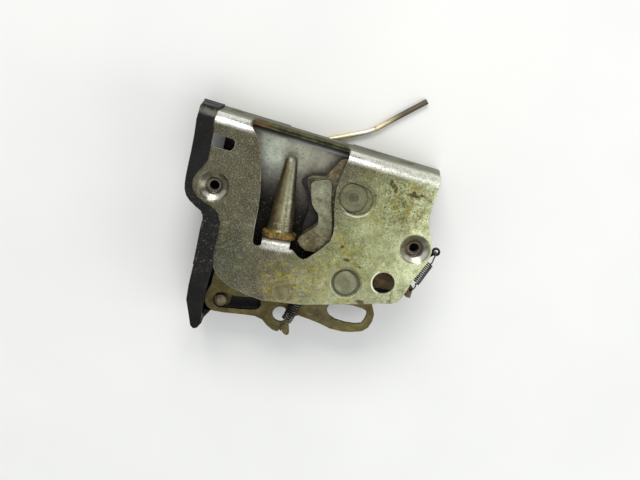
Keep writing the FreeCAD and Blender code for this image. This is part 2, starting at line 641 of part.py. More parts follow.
def make_fork():
    fork = new_body("fork")
    points = FORK_LOWER + around(place("fork"), RATCHET) + FORK_UPPER
    pad(fork, "fork_outline", "fork_base_pad", [outline(points, 0.9)], "fork_bottom",
        "fork_base", circles=[disc("fork", "fork_pin_r + pivot_play")])
    pad(fork, "jaw_outline", "jaw_pad", [outline(JAW, 0.8)], "fork_step", "fork_pad")
    # shallow groove across the lower jaw, and a small hole beside the pivot
    cut(fork, "jaw_step_outline", "jaw_step", [outline(JAW_STEP, 0.4)],
        "fork_step + fork_pad + 1", 1.5)
    cut(fork, "fork_holes", "fork_hole_cut", [], "fork_step + 1", "fork_base + 2",
        circles=[("fork_x + 9", "fork_y + 6", 1.1)])


def make_fork_bumper():
    """rubber block on the floor under the jaw"""
    pad(new_body("fork_bumper"), "bumper_outline", "bumper_pad", [outline(BUMPER, 1.0)],
        "floor_top", "bumper_high")


# ---------------------------------------------------------------- pawl
# x, y; the nose is given before its turn about the pawl axis
PAWL_NOSE = [(33.6, 4.6), (33.24, 6.84), (38.3, 4.7), (40.4, 1.0), (40.2, -6.0), (37.6, -13.0)]
PAWL_TURN = -4.5
PAWL_ARM = [
    (35.6, -17.2), (39.0, -17.4), (47, -18.2), (53.6, -20.2), (55.0, -20.6), (57.2, -21.0),
    (57.4, -26.6), (55.2, -26.6), (49.0, -25.6), (41, -26.6), (34, -27.5), (30.6, -29.6)]
PAWL_HUB = [(angle, 7.3) for angle in range(-40, -216, -25)]  # angle, radius
PAWL_RISE = [(20.6, -19.2), (27.2, -13.0), (32.0, -6.2), (34.8, -1.0)]
PAWL_FIRST_RADII = [0.6, 0.35, 0.9, 1.5, 1.5, 2.5, 1.5]  # the remaining corners are 1.2
PAWL_TAB = [(54.6, -20.6), (57.2, -21.0), (57.4, -26.5), (55.0, -26.5)]


def make_pawl():
    pawl = new_body("pawl")
    axis = place("pawl")
    turn = Rotation(Vector(0, 0, 1), PAWL_TURN)
    nose = [axis + turn.multVec(Vector(x, y, 0) - axis) for x, y in PAWL_NOSE]
    points = nose + PAWL_ARM + around(axis, PAWL_HUB) + PAWL_RISE
    radii = PAWL_FIRST_RADII + [1.2] * (len(points) - len(PAWL_FIRST_RADII))
    pad(pawl, "pawl_outline", "pawl_pad", [outline(points, radii)], "pawl_bottom",
        "pawl_thick",
        circles=[disc("pawl", "pawl_pin_r + pivot_play"), disc("lift", "lift_pin_r")])
    # raised tab at the end of the arm, with the spring hole
    pad(pawl, "tab_outline", "tab_pad", [outline(PAWL_TAB, 0.3)],
        "pawl_bottom + pawl_thick - 0.4", 3.0)
    cut(pawl, "tab_hole", "tab_hole_cut", [], 0, 20, circles=[(56.3, -22.4, 0.75)])


def make_pawl_lift_pin():
    top = size("pawl_bottom") + size("pawl_thick") + 0.05
    radius, lever = size("lift_pin_r"), size("release_bottom")
    turned_pin("pawl_lift_pin", "lift", [
        (0, top), (radius, top), (radius, lever - 0.6), (radius - 0.4, lever - 1.0),
        (0, lever - 1.0)])


# ---------------------------------------------------------------- release lever
RELEASE = [
    (-40.8, -43.5), (-40.6, -52.3), (-41.9, -57.7), (-41.4, -61.5), (-39.5, -64.3),
    (-36, -65.5), (-29.7, -64.8), (-22, -63.3), (-14.3, -62.1), (-10.2, -62.9), (-6.9, -65.3),
    (-3.7, -66.7), (-0.9, -67.0), (-0.1, -65.6), (0.6, -64.4), (1.2, -65.8), (2.2, -66.8),
    (4.2, -67.8), (5.4, -66.3), (4.6, -63.6), (3.4, -60.6), (4.2, -57.4), (7.2, -55.3),
    (13.7, -55.8), (19.3, -56.4), (25.1, -57.5), (31.6, -57.2), (36.7, -56.0), (41.6, -54.0),
    (44, -51.3), (45, -47.5), (44.9, -43.6), (43.6, -41.1), (41.9, -38.4), (39.6, -30),
    (40.2, -22), (38.2, -17.0), (34.2, -15.8), (30.2, -18), (29.2, -25), (24.5, -33.5),
    (14, -35.4), (5, -33.6), (-1, -31.4), (-8, -30.6), (-14, -33), (-22, -38.5), (-32, -40.5)]
RELEASE_LOOP = [
    (20.5, -47.5), (21.0, -49.0), (22.6, -50.8), (26.2, -52.0), (31.7, -52.1), (36.9, -51.4),
    (39.8, -50.2), (40.7, -47.7), (41.1, -44.7), (40.2, -42.7), (37.9, -42.2), (32.5, -42.1),
    (23.7, -43.7), (20.9, -45.1)]


def make_release_lever():
    # the link slot follows the swing of the link pin about the lock lever axis
    reach, bearing = distance_angle(place("lock"), place("link"))
    link_slot = tapered_slot(place("lock"), reach, bearing, bearing + 15.5, 4.2, 3.4)
    # the lift pin slot points at the release lever axis
    lift_bearing = distance_angle(place("release"), place("lift"))[1]
    lift_slot = long_slot(place("lift"), lift_bearing, 0.7, size("lift_pin_r") + 0.12)
    loops = [outline(RELEASE, 1.3), outline(RELEASE_LOOP, 1.2), outline(link_slot, 0.3),
             lift_slot]
    pad(new_body("release_lever"), "release_outline", "release_pad", loops,
        "release_bottom", "release_thick",
        circles=[disc("release", "release_pin_r + pivot_play"), (-1.9, -57.4, 4.1)])


# ---------------------------------------------------------------- lock lever and link pin
LOCK_LINK_END = [(-5.0, -1.5), (-2.5, -4.6), (2.5, -4.6), (5.0, -1.5), (4.6, 6)]  # from link
LOCK_RIGHT = [(-31.6, -36), (-30.4, -10), (-29.6, 4), (-30.4, 14)]  # x, y
LOCK_ROD_END = [(4.4, -6), (4.4, 1.6), (1.8, 3.6), (-1.8, 3.6), (-4.4, 1.6), (-4.8, -6)]  # from rod
LOCK_LEFT = [(-42.4, 15), (-44.6, 8), (-43.6, 0), (-41.0, -12), (-38.8, -36)]  # x, y
LOCK_RIB = [(-36.2, -48), (-34.0, -48), (-34.4, -6), (-37.4, -6)]


def make_lock_lever():
    lock = new_body("lock_lever")
    link, rod = place("link"), place("rod")
    points = (shifted(link, LOCK_LINK_END) + LOCK_RIGHT + shifted(rod, LOCK_ROD_END)
              + LOCK_LEFT + shifted(link, [(-5.0, 6)]))
    pad(lock, "lock_outline", "lock_pad", [outline(points, 2.2)], "lock_bottom", "lock_thick",
        circles=[disc("lock", "lock_pin_r + pivot_play"), disc("rod", "rod_hole_r"),
                 disc("link", "link_pin_r")])
    # raised rib along the arm
    pad(lock, "rib_outline", "rib_pad", [outline(LOCK_RIB, 0.9)],
        "lock_bottom + lock_thick - 0.2", 0.9)


def make_link_pin():
    top = size("release_bottom") + size("release_thick")
    bottom = size("lock_bottom")
    pin, head = size("link_pin_r"), size("link_head_r")
    turned_pin("link_pin", "link", [
        (0, top + 1.5), (1.6, top + 1.45), (head, top + 1.0), (head, top + 0.25),
        (pin, top + 0.25), (pin, bottom - 0.1), (pin + 1.1, bottom - 0.1),
        (pin + 0.7, bottom - 0.9), (0, bottom - 0.9)])


# ---------------------------------------------------------------- springs
def store(label, shape):
    doc.addObject("Part::Feature", label).Shape = shape


def wire_run(points, radius):
    """round wire through points, cylinders blended by balls"""
    pieces = []
    for start, end in zip(points, points[1:]):
        run = end - start
        pieces.append(Part.makeCylinder(radius, run.Length, start, run))
    for point in points[1:-1]:
        pieces.append(Part.makeSphere(radius, point))
    return pieces


def make_spring(label, start, end, coil_radius, turns, up, wire, lead_in=(), lead_out=()):
    """coil about the line start to end, first turn begun on the up side, with hooked ends"""
    along = end - start
    length = along.Length
    along.normalize()
    first_side = up - along * up.dot(along)
    first_side.normalize()
    second_side = along.cross(first_side)

    pitch = length / turns
    helix = Part.Wire(Part.makeHelix(pitch, length, coil_radius).Edges)
    tangent = Vector(0, 2 * math.pi * coil_radius, pitch)
    section = Part.Wire([Part.Edge(Part.Circle(Vector(coil_radius, 0, 0), tangent, wire))])
    coil = helix.makePipeShell([section], True, True)
    if coil.Volume < 0:
        coil.reverse()
    coil.Placement = Placement(FreeCAD.Matrix(
        first_side.x, second_side.x, along.x, start.x,
        first_side.y, second_side.y, along.y, start.y,
        first_side.z, second_side.z, along.z, start.z,
        0, 0, 0, 1))
    if not lead_out:
        store(label, coil)
        return

    phase = 2 * math.pi * turns
    first = start + first_side * coil_radius
    last = (start + along * length + first_side * (coil_radius * math.cos(phase))
            + second_side * (coil_radius * math.sin(phase)))
    pieces = wire_run([Vector(*point) for point in lead_in] + [first], wire)
    pieces += wire_run([last] + [Vector(*point) for point in lead_out], wire)
    pieces += [Part.makeSphere(wire, first), Part.makeSphere(wire, last)]
    store(label, coil.multiFuse(pieces).Solids[0])


def make_pawl_spring():
    """from the lug eye to the tab on the pawl"""
    floor = size("floor_top")
    level = floor + 7.6
    eye_x, eye_y = size("eye_x"), size("eye_y")
    lead_in = [
        (eye_x + 0.15, eye_y - 0.25, floor + 4.7), (eye_x + 0.1, eye_y - 0.35, floor + 6.0),
        (eye_x, eye_y - 0.75, floor + 7.3), (eye_x - 0.35, eye_y - 2.2, floor + 8.2),
        (62.35, -4.6, floor + 8.6), (62.2, -6.2, floor + 9.1)]
    lead_out = [
        (58.3, -19.2, level + 1.4), (58.0, -20.1, level + 2.0), (57.3, -21.4, level + 3.3),
        (56.7, -22.0, level + 3.5), (56.3, -22.4, level + 3.1), (56.3, -22.4, level - 1.2)]
    make_spring("pawl_spring", Vector(61.75, -7.3, level), Vector(58.0, -18.4, level),
                size("pawl_coil"), 12.0, Vector(0, 0, 1), size("pawl_wire"),
                lead_in, lead_out)


# x, y, z: from the hole in the floor tab, and on to the lever ear
RELEASE_LEAD_IN = [
    (6.35, -39.45, -19.2), (6.4, -39.35, -18.6), (6.4, -39.4, -16.6), (6.2, -40.6, -14.6),
    (5.7, -42.4, -13.5), (5.2, -44.2, -13.5)]
RELEASE_LEAD_OUT = [
    (1.3, -60.0, -14.3), (0.9, -61.2, -15.2), (0.6, -62.4, -16.6), (0.5, -63.9, -18.0),
    (0.52, -65.5, -18.8), (0.52, -65.5, -22.1), (0.3, -64.8, -22.6), (-0.1, -63.4, -22.7)]


def make_release_spring():
    make_spring("release_spring", Vector(4.95, -45.2, -16.2), Vector(1.7, -58.6, -16.4),
                size("release_coil"), 12.0, Vector(0, 0, 1), size("release_wire"),
                RELEASE_LEAD_IN, RELEASE_LEAD_OUT)


def make_fork_spring():
    """plain coil round the fork bush"""
    wire = size("fork_wire")
    start = place("fork") + Vector(0, 0, size("floor_top") + wire + 0.15)
    make_spring("fork_spring", start, start + Vector(0, 0, 2.5), size("fork_coil"), 2.15,
                Vector(1, 0, 0), wire)


# ---------------------------------------------------------------- lock rod and its clip
# x, y, z of the bends below the lever and the free end beyond the flange
ROD_BENDS = [
    (-20.0, 31.6, -35.6), (-6.0, 33.4, -38.9), (4.5, 38.7, -39.4), (14.6, 44.0, -39.4),
    (18.6, 46.9, -39.4), (28.6, 57.0, -39.4), (39.7, 67.9, -39.4)]
CLIP_ARM = [(-2.2, -3.0), (-2.2, -9.0), (2.2, -9.0), (2.2, -3.0), (1.2, -2.4), (-1.2, -2.4)]


def make_lock_rod():
    """hooked end down through the lever, then out past the flange"""
    hook = place("rod")
    points = [hook + Vector(0, 0, -20.6), hook + Vector(0, 0, -32.0)]
    points += [Vector(*point) for point in ROD_BENDS]
    edges, current = [], points[0]
    for before, vertex, after in zip(points, points[1:], points[2:]):
        start, middle, end = corner(before, vertex, after, 3.6, 0.45)
        edges.append(Part.LineSegment(current, start).toShape())
        edges.append(Part.Arc(start, middle, end).toShape())
        current = end
    edges.append(Part.LineSegment(current, points[-1]).toShape())
    section = Part.Circle(points[0], points[1] - points[0], size("rod_r"))
    rod = Part.Wire(edges).makePipeShell([Part.Wire([Part.Edge(section)])], True, False)
    if rod.Volume < 0:
        rod.reverse()
    store("lock_rod", rod)


def make_rod_clip():
    clip = new_body("rod_clip")
    pad(clip, "clip_ring", "clip_ring_pad", [], "lock_bottom - 2.3", 2.25,
        circles=[disc("rod", "rod_r + 2.2"), disc("rod", "rod_r")])
    arm = shifted(place("rod"), CLIP_ARM)
    pad(clip, "clip_arm", "clip_arm_pad", [outline(arm, 0.6)], "lock_bottom - 1.6", 1.55)


# ---------------------------------------------------------------- side shield
# edges of the lip on the left margin of the face: x, y
LIP_INNER = [
    (-58.8, 29.8), (-58.3, 28.2), (-57.6, 25.6), (-57.2, 19.3), (-56.9, 12.5), (-58.3, 8.8),
    (-60.3, 5.5), (-61.4, 2.1), (-61.2, -0.8), (-60.0, -3.5), (-57.3, -6.2), (-52.8, -7.9),
    (-48.5, -9.2), (-45.4, -11.3), (-43.5, -14.8), (-42.9, -19.8), (-42.6, -25.4),
    (-42.6, -29.1), (-41.8, -34.0), (-41.3, -38.5)]
LIP_OUTER = [
    (-50.7, -38.5), (-50.8, -35.7), (-51.2, -29.0), (-51.6, -23.9), (-51.9, -18.9),
    (-51.8, -15.7), (-52.4, -13.6), (-53.9, -11.8), (-56.6, -10.6), (-60.2, -8.5),
    (-62.4, -6.6), (-63.8, -4.0), (-64.5, -1.1), (-64.9, 2.7), (-65.2, 7.6), (-65.5, 14.9),
    (-66.0, 22.1), (-66.9, 29.8)]
# plan of the tail, the step of its right edge and the floor flange: x, y
TAIL = [
    (-50.35, -30), (-50.3, -40.9), (-49.9, -51), (-49.6, -58.4), (-47.3, -66.3),
    (-44.8, -74.1), (-43.0, -75.6), (-41.1, -74.4), (-40.0, -71.6), (-38.0, -68.0),
    (-36.2, -62.0), (-36.2, -52.0), (-39.0, -30)]
COVER_EDGE = [(-41.1, -30), (-41.1, -52), (-40.7, -64), (-40.0, -71), (-30, -71), (-30, -30)]
SHIELD_FLANGE = [
    (-50.0, -38.5), (-49.8, -58.0), (-47.2, -66.0), (-40.0, -71.0), (-36.2, -67.6),
    (-30, -66.4), (-22, -65.2), (-13, -64.2), (-10.6, -60), (-11, -47), (-20, -42),
    (-36, -38.5)]
# corner sides seen along Y: x, z
CORNER_EAR = [(-66.2, -7.0), (-66.95, -7.0), (-69.6, -33.3), (-60.0, -33.3), (-60.0, -7.0)]
OUTER_SIDE = [(-66.9, 0.4), (-69.5, -33.0), (-68.1, -33.0), (-65.5, 0.4)]
SHIELD_GAP = 0.02  # clearance to the face plate
SHIELD_BOTTOM = "shield_floor - shield_base"


def offset_path(path, distance):
    """open path moved to the right of its travel"""
    moved = []
    for i, (x, y) in enumerate(path):
        travel = (Vector(*path[min(len(path) - 1, i + 1)], 0)
                  - Vector(*path[max(0, i - 1)], 0))
        travel.normalize()
        moved.append((x + travel.y * distance, y - travel.x * distance))
    return moved


def shield_tail():
    """hollow tail below the face, with a sloping cover and a floor flange"""
    tail = new_body("shield_tail")
    top, floor, bottom = size("shield_top"), size("shield_floor"), value(SHIELD_BOTTOM)
    # side views: y, z
    block = [(-36.5, top), (-49.0, top), (-58.4, -4.0), (-66.3, -9.0), (-77.0, -14.0),
             (-77.0, bottom), (-36.5, bottom)]
    ceiling = top - 1.15
    hollow = [(-30.0, ceiling), (-48.8, ceiling), (-58.2, -5.4), (-66.6, -11.0),
              (-66.6, floor), (-30.0, floor)]
    pad(tail, "tail_profile", "tail_block", [outline(block)], None, 22, on_yz(-56.0))
    trim(tail, "tail_outline", "tail_trim", TAIL, 0.9, "shield_top + 1", 40)
    cut(tail, "tail_hollow", "tail_hollow_cut", [outline(hollow)], None, 20, on_yz(-48.6),
        reverse=True)
    # the right edge of the cover steps back over the levers
    cut(tail, "cover_edge", "cover_edge_cut", [outline(COVER_EDGE, 0.6)], "shield_top + 1", 24)
    pad(tail, "floor_flange", "floor_flange_pad", [outline(SHIELD_FLANGE, 1.4)],
        SHIELD_BOTTOM, "shield_base")
    return tail


def shield_lip():
    """flat lip over the face margin"""
    lip = new_body("shield_lip")
    pad(lip, "lip_outline", "lip_pad", [outline(LIP_INNER + LIP_OUTER, 0.7)], SHIELD_GAP,
        "shield_top - %s" % SHIELD_GAP)
    return lip


def shield_wall():
    """side wall that follows the outer edge of the lip"""
    wall = new_body("shield_wall")
    points = LIP_OUTER + offset_path(LIP_OUTER, 1.35)[::-1]
    pad(wall, "wall_outline", "wall_pad", [outline(points)], SHIELD_BOTTOM,
        "shield_top - shield_floor + shield_base - 0.1")
    return wall


def shield_wrap():
    """corner wrapped over the flange bend, its side leaning out as it drops"""
    wrap = new_body("shield_wrap")
    top = size("shield_top")
    thick = top - SHIELD_GAP
    outer_y = size("flange_outer") + top
    profile = bent_profile(29.0, top, thick, outer_y, 33.3, size("face_bend") + top)
    pad(wrap, "corner_profile", "corner_wrap", [profile], None, 8.1, on_yz(-66.9))
    pad(wrap, "corner_ear", "corner_ear_pad", [outline(CORNER_EAR)], None, thick,
        on_xz(outer_y))
    side_y = size("flange_outer") + SHIELD_GAP + 0.4
    pad(wrap, "outer_side", "outer_side_pad", [outline(OUTER_SIDE)], None, 6.9, on_xz(side_y))
    return wrap


def make_side_shield():
    shield = doc.addObject("Part::MultiFuse", "side_shield")
    shield.Shapes = [shield_tail(), shield_lip(), shield_wall(), shield_wrap()]
    shield.Refine = False


# ---------------------------------------------------------------- build, check and write
for make in (make_face_plate, make_back_plate, make_weld_nuts, make_guide_cone, make_pivots,
             make_rings, make_flange_rivets, make_fork, make_fork_bumper, make_pawl,
             make_pawl_lift_pin, make_release_lever, make_lock_lever, make_link_pin,
             make_pawl_spring, make_release_spring, make_fork_spring, make_lock_rod,
             make_rod_clip, make_side_shield):
    make()
doc.recompute()

NODES = [
    "face_plate", "back_plate", "left_weld_nut", "right_weld_nut", "guide_cone",
    "fork_pivot_rivet", "pawl_pivot_rivet", "release_lever_stud", "lock_lever_stud",
    "release_lever_washer", "release_lever_spacer", "lock_lever_washer", "fork_bush",
    "pawl_bush", "flange_rivets", "fork", "fork_bumper", "fork_spring", "pawl",
    "pawl_lift_pin", "pawl_spring", "release_lever", "release_spring", "lock_lever",
    "link_pin", "lock_rod", "rod_clip", "side_shield"]
shapes = {label: doc.getObjectsByLabel(label)[0].Shape for label in NODES}

faults = [(item.Name, item.State) for item in doc.Objects
          if "Invalid" in item.State or "Error" in item.State]
for label, shape in shapes.items():
    expected = len(FLANGE_RIVETS) if label == "flange_rivets" else 1
    if shape.isNull() or not shape.isValid() or not shape.Solids:
        faults.append((label, "shape"))
    elif len(shape.Solids) != expected:
        faults.append((label, "loose solid"))
if faults:
    raise RuntimeError("features need repair: %s" % faults)

# the thread mouths lie at the bottom of the cups
for label, shape in shapes.items():
    moved = shape.copy()
    moved.translate(Vector(0, 0, -size("cup_bottom")))
    moved.exportStep("parts/%s.step" % label)
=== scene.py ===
"""Looks for a rotary latch: plate housing, fork, pawl, release lever, cone and springs.

The plate lies in the XY plane with its outer face toward +Z and its mouth on the +Y side.
The screws sit near -X and +X. Geometry tables are in millimetres, measured from the outer
face; shader distances are in metres from the same face, save where a method says otherwise.
"""

import json
import math
import random
from functools import reduce
from operator import or_

import bmesh
import bpy
from mathutils import Matrix, Vector, noise


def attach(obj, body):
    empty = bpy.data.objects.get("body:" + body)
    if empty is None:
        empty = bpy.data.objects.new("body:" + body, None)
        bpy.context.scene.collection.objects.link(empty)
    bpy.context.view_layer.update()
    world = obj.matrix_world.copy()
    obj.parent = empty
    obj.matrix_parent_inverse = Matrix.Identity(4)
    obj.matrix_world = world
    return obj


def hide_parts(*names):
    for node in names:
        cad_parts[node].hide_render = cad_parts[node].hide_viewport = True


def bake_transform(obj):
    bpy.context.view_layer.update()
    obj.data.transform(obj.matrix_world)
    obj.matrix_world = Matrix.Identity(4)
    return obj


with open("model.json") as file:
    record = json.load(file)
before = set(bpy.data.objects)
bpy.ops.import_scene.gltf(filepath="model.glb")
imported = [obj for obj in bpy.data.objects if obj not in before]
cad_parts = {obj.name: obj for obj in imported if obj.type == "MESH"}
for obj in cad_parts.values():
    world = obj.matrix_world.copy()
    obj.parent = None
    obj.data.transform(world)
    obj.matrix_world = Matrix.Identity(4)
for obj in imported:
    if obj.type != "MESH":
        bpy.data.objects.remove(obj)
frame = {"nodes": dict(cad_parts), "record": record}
random.seed(7)


def save_size():
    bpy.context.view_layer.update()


save_size()

MM = 0.001
LIFT = 0.0042  # metres from the origin up to the outer face

# Places on the plate, (x, y) in mm
LEFT_SCREW = (-51, 1)
RIGHT_SCREW = (51, -1)
FORK_AXIS = (14.9, 14.7)
FORK_SEAT = (17.0, 14.5)
LOWER_RIVET = (23.5, -26.8)
STUD = (-5.5, -40.1)

# ------------------------------------------------------------------ shader building


def math_operator(operation, swapped=False):
    def apply(self, other):
        pair = (other, self) if swapped else (self, other)
        return self.net.math(operation, *pair)
    return apply


class Field:
    """A shader value. Arithmetic on it adds Math nodes; | takes the larger of two."""

    def __init__(self, net, socket):
        self.net = net
        self.socket = socket

    __add__ = math_operator("ADD")
    __radd__ = math_operator("ADD", swapped=True)
    __sub__ = math_operator("SUBTRACT")
    __rsub__ = math_operator("SUBTRACT", swapped=True)
    __mul__ = math_operator("MULTIPLY")
    __or__ = math_operator("MAXIMUM")

    def __abs__(self):
        return self.net.math("ABSOLUTE", self)

    def fract(self):
        return self.net.math("FRACT", self)

    def ramp(self, over, to=(0.0, 1.0)):
        """Smooth clamped step from to[0] to to[1] as the value crosses `over`."""
        node = self.net.node("ShaderNodeMapRange")
        node.interpolation_type = "SMOOTHSTEP"
        node.clamp = True
        self.net.link(self, node.inputs["Value"])
        node.inputs["From Min"].default_value = over[0]
        node.inputs["From Max"].default_value = over[1]
        node.inputs["To Min"].default_value = to[0]
        node.inputs["To Max"].default_value = to[1]
        return Field(self.net, node.outputs[0])

    def fall(self, over):
        return self.ramp(over, to=(1.0, 0.0))


class Net:
    """A material whose colour is painted in layers, each through a 0..1 mask.

    In roughness, metal and height sums, a factor is how far that mask moves the value.
    """

    def __init__(self, name):
        self.material = bpy.data.materials.new(name)
        self.material.use_nodes = True
        self.tree = self.material.node_tree
        self.shader = self.tree.nodes["Principled BSDF"]
        origin_point = self.node("ShaderNodeTexCoord").outputs["Object"]
        lower = self.node("ShaderNodeVectorMath")
        lower.operation = "SUBTRACT"
        self.tree.links.new(origin_point, lower.inputs[0])
        lower.inputs[1].default_value = (0.0, 0.0, LIFT)
        self.point = Field(self, lower.outputs[0])
        self.split = None
        self.colour = None

    def node(self, kind):
        return self.tree.nodes.new(kind)

    def link(self, value, socket):
        if isinstance(value, Field):
            self.tree.links.new(value.socket, socket)
        elif isinstance(value, tuple):
            socket.default_value = value + (1.0,)
        else:
            socket.default_value = value

    def axes(self):
        if self.split is None:
            self.split = self.node("ShaderNodeSeparateXYZ")
            self.link(self.point, self.split.inputs[0])
        return [Field(self, self.split.outputs[i]) for i in range(3)]

    def math(self, operation, first, second=0.0):
        node = self.node("ShaderNodeMath")
        node.operation = operation
        self.link(first, node.inputs[0])
        self.link(second, node.inputs[1])
        return Field(self, node.outputs[0])

    def mix(self, mask, first, second):
        node = self.node("ShaderNodeMix")
        node.data_type = "RGBA"
        node.clamp_factor = True
        self.link(mask, node.inputs[0])
        self.link(first, node.inputs[6])
        self.link(second, node.inputs[7])
        return Field(self, node.outputs[2])

    def base(self, mask, first, second):
        self.colour = self.mix(mask, first, second)

    def paint(self, mask, colour, amount=None):
        if amount is not None:
            mask = mask * amount
        self.colour = self.mix(mask, self.colour, colour)

    def noise(self, scale, detail=4.0, rough=0.55, distort=0.0, seed=0.0, stretch=None):
        node = self.node("ShaderNodeTexNoise")
        mapping = self.node("ShaderNodeMapping")
        self.link(self.point, mapping.inputs["Vector"])
        mapping.inputs["Location"].default_value = (seed * 0.37, seed * 0.91, seed * 0.53)
        if stretch:
            mapping.inputs["Scale"].default_value = stretch
        self.tree.links.new(mapping.outputs[0], node.inputs["Vector"])
        node.inputs["Scale"].default_value = scale
        node.inputs["Detail"].default_value = detail
        node.inputs["Roughness"].default_value = rough
        node.inputs["Distortion"].default_value = distort
        return Field(self, node.outputs[0])

    def mottle(self, over, to=(0.0, 1.0), **grain):
        return self.noise(**grain).ramp(over, to)

    def roughness(self, to, **grain):
        return self.mottle((0.3, 0.7), to, **grain)

    def distance(self, at, stretch=None):
        """Distance in the XY plane from a point in mm."""
        x, y, _ = self.axes()
        dx = x - at[0] * MM
        dy = y - at[1] * MM
        if stretch:
            dx = dx * (1.0 / stretch[0])
            dy = dy * (1.0 / stretch[1])
        return self.math("SQRT", dx * dx + dy * dy)

    def spot(self, at, radius, soft=0.4, wobble=0.35, stretch=(1.0, 1.0), seed=0.0):
        """Soft-edged patch; place and radius in mm, soft and wobble as shares of radius."""
        away = self.distance(at, stretch)
        ragged = self.noise(scale=420.0, detail=3.0, seed=seed + at[0])
        away = away + (ragged - 0.5) * (radius * MM * wobble * 2.0)
        return away.fall(over=(radius * MM * (1 - soft), radius * MM * (1 + soft)))

    def spots(self, rows, soft):
        """Smooth-edged spots from rows of x, y, radius (mm), strength."""
        return reduce(or_, (self.spot((x, y), radius, soft, wobble=0.0) * strength
                            for x, y, radius, strength in rows))

    def ring(self, at, radius, width):
        """Thin circle; all lengths in mm."""
        off_line = abs(self.distance(at) - radius * MM)
        return off_line.fall(over=(width * MM * 0.3, width * MM))

    def arc(self, at, radius, width, facing):
        """The part of a ring that faces the given direction in degrees; lengths in mm."""
        x, y, _ = self.axes()
        angle = math.radians(facing)
        dx = x - at[0] * MM
        dy = y - at[1] * MM
        along = dx * (math.cos(angle) * 1000.0 / radius) + dy * (math.sin(angle) * 1000.0 / radius)
        return self.ring(at, radius, width) * along.ramp(over=(0.25, 0.60))

    def edges(self, radius):
        """1 on convex and concave edges."""
        bevel = self.node("ShaderNodeBevel")
        bevel.samples = 4
        bevel.inputs["Radius"].default_value = radius
        geometry = self.node("ShaderNodeNewGeometry")
        dot = self.node("ShaderNodeVectorMath")
        dot.operation = "DOT_PRODUCT"
        self.tree.links.new(bevel.outputs[0], dot.inputs[0])
        self.tree.links.new(geometry.outputs["Normal"], dot.inputs[1])
        return (1.0 - Field(self, dot.outputs["Value"])).ramp(over=(0.02, 0.28))

    def crevices(self, reach, over=(0.25, 0.85)):
        """1 where nearby surfaces close in."""
        occlusion = self.node("ShaderNodeAmbientOcclusion")
        occlusion.samples = 5
        occlusion.inputs["Distance"].default_value = reach
        return Field(self, occlusion.outputs["AO"]).fall(over)

    def finish(self, rough, metal, height, depth, bevel=0.0, specular=0.5):
        """Wires the shader; depth is the bump height and bevel the edge radius."""
        self.link(self.colour, self.shader.inputs["Base Color"])
        self.link(rough, self.shader.inputs["Roughness"])
        self.link(metal, self.shader.inputs["Metallic"])
        self.link(specular, self.shader.inputs["Specular IOR Level"])
        bump = self.node("ShaderNodeBump")
        bump.inputs["Strength"].default_value = 1.0
        bump.inputs["Distance"].default_value = depth
        self.link(height, bump.inputs["Height"])
        if bevel:
            rounded = self.node("ShaderNodeBevel")
            rounded.samples = 6
            rounded.inputs["Radius"].default_value = bevel
            self.tree.links.new(rounded.outputs[0], bump.inputs["Normal"])
        self.tree.links.new(bump.outputs[0], self.shader.inputs["Normal"])
        return self.material


# ------------------------------------------------------------------ materials

RUST = (0.085, 0.038, 0.012)
# dark brown for dirt specks and for painted shade in crevices
GRIME_AND_SHADE = (0.018, 0.015, 0.010)


def worn_metal(name, base, alt, seed, rust, rough=(0.38, 0.62), metal=0.85, patch=90.0,
               speck=0.3, depth=0.00006):
    """Plain steel; rust and speck are amounts, patch the noise scale of the two tones."""
    net = Net(name)
    net.base(net.mottle(scale=patch, detail=6, seed=seed, over=(0.35, 0.68)), base, alt)
    net.paint(net.mottle(scale=900, detail=3, seed=seed + 3, over=(0.45, 0.75)),
              tuple(min(1.0, v * 1.45) for v in base), amount=0.35)
    specks = net.mottle(scale=1500, detail=2, rough=0.7, seed=seed + 5, over=(0.60, 0.70))
    net.paint(specks * net.mottle(scale=160, detail=3, seed=seed + 6, over=(0.40, 0.62)),
              GRIME_AND_SHADE, amount=speck)
    rusty = net.mottle(scale=130, detail=7, rough=0.68, distort=0.6, seed=seed + 9,
                       over=(0.70 - 0.35 * rust, 0.82 - 0.30 * rust)) * min(1.0, 0.45 + rust)
    net.paint(rusty, RUST)
    # painted shade in crevices
    crevice_shade = net.crevices(reach=0.004) * 0.4
    net.paint(crevice_shade, GRIME_AND_SHADE)
    # worn edges, with a painted highlight along them
    edge_polish_and_highlight = net.edges(radius=0.0004) * 0.5
    edge_polish_and_highlight = edge_polish_and_highlight * net.mottle(scale=300, detail=3, seed=seed + 11, over=(0.35, 0.6))
    net.paint(edge_polish_and_highlight, tuple(min(1.0, v * 1.9 + 0.06) for v in base))
    shine = net.roughness(scale=220, detail=5, seed=seed + 13, to=rough)
    return net.finish(
        rough=shine + rusty * 0.3 - edge_polish_and_highlight * 0.15,
        metal=(metal - (rusty * 0.7 + crevice_shade * 0.3)) | 0.0,
        height=net.noise(scale=700, detail=5, rough=0.6, seed=seed + 17) * 0.6 + rusty * 0.7,
        depth=depth, bevel=0.00022)


# Rows of x, y, radius (mm), strength
DIRT = [(38, 20, 12, 0.75), (44, -30, 7, 0.5), (22, -9, 7, 0.45)]
YELLOW_STAINS = [
    (-4, -34, 10, 0.9), (8, -30, 9, 0.9), (14, -21, 7, 0.8), (-12, -33, 6, 0.7),
    (-8, -40, 7, 0.8), (1, -38, 6, 0.7), (24, -34, 6, 0.6), (30, 4, 8, 0.4),
    (40, 18, 9, 0.8), (47, 13, 7, 0.8), (28, 9, 6, 0.6), (16, -9, 6, 0.9),
    (23, -13, 7, 0.8), (36, -12, 9, 0.5), (41, 27, 8, 0.7), (22, 34, 5, 0.6),
    (-8, -40, 5, 0.8), (32, -22, 5, 0.5)]
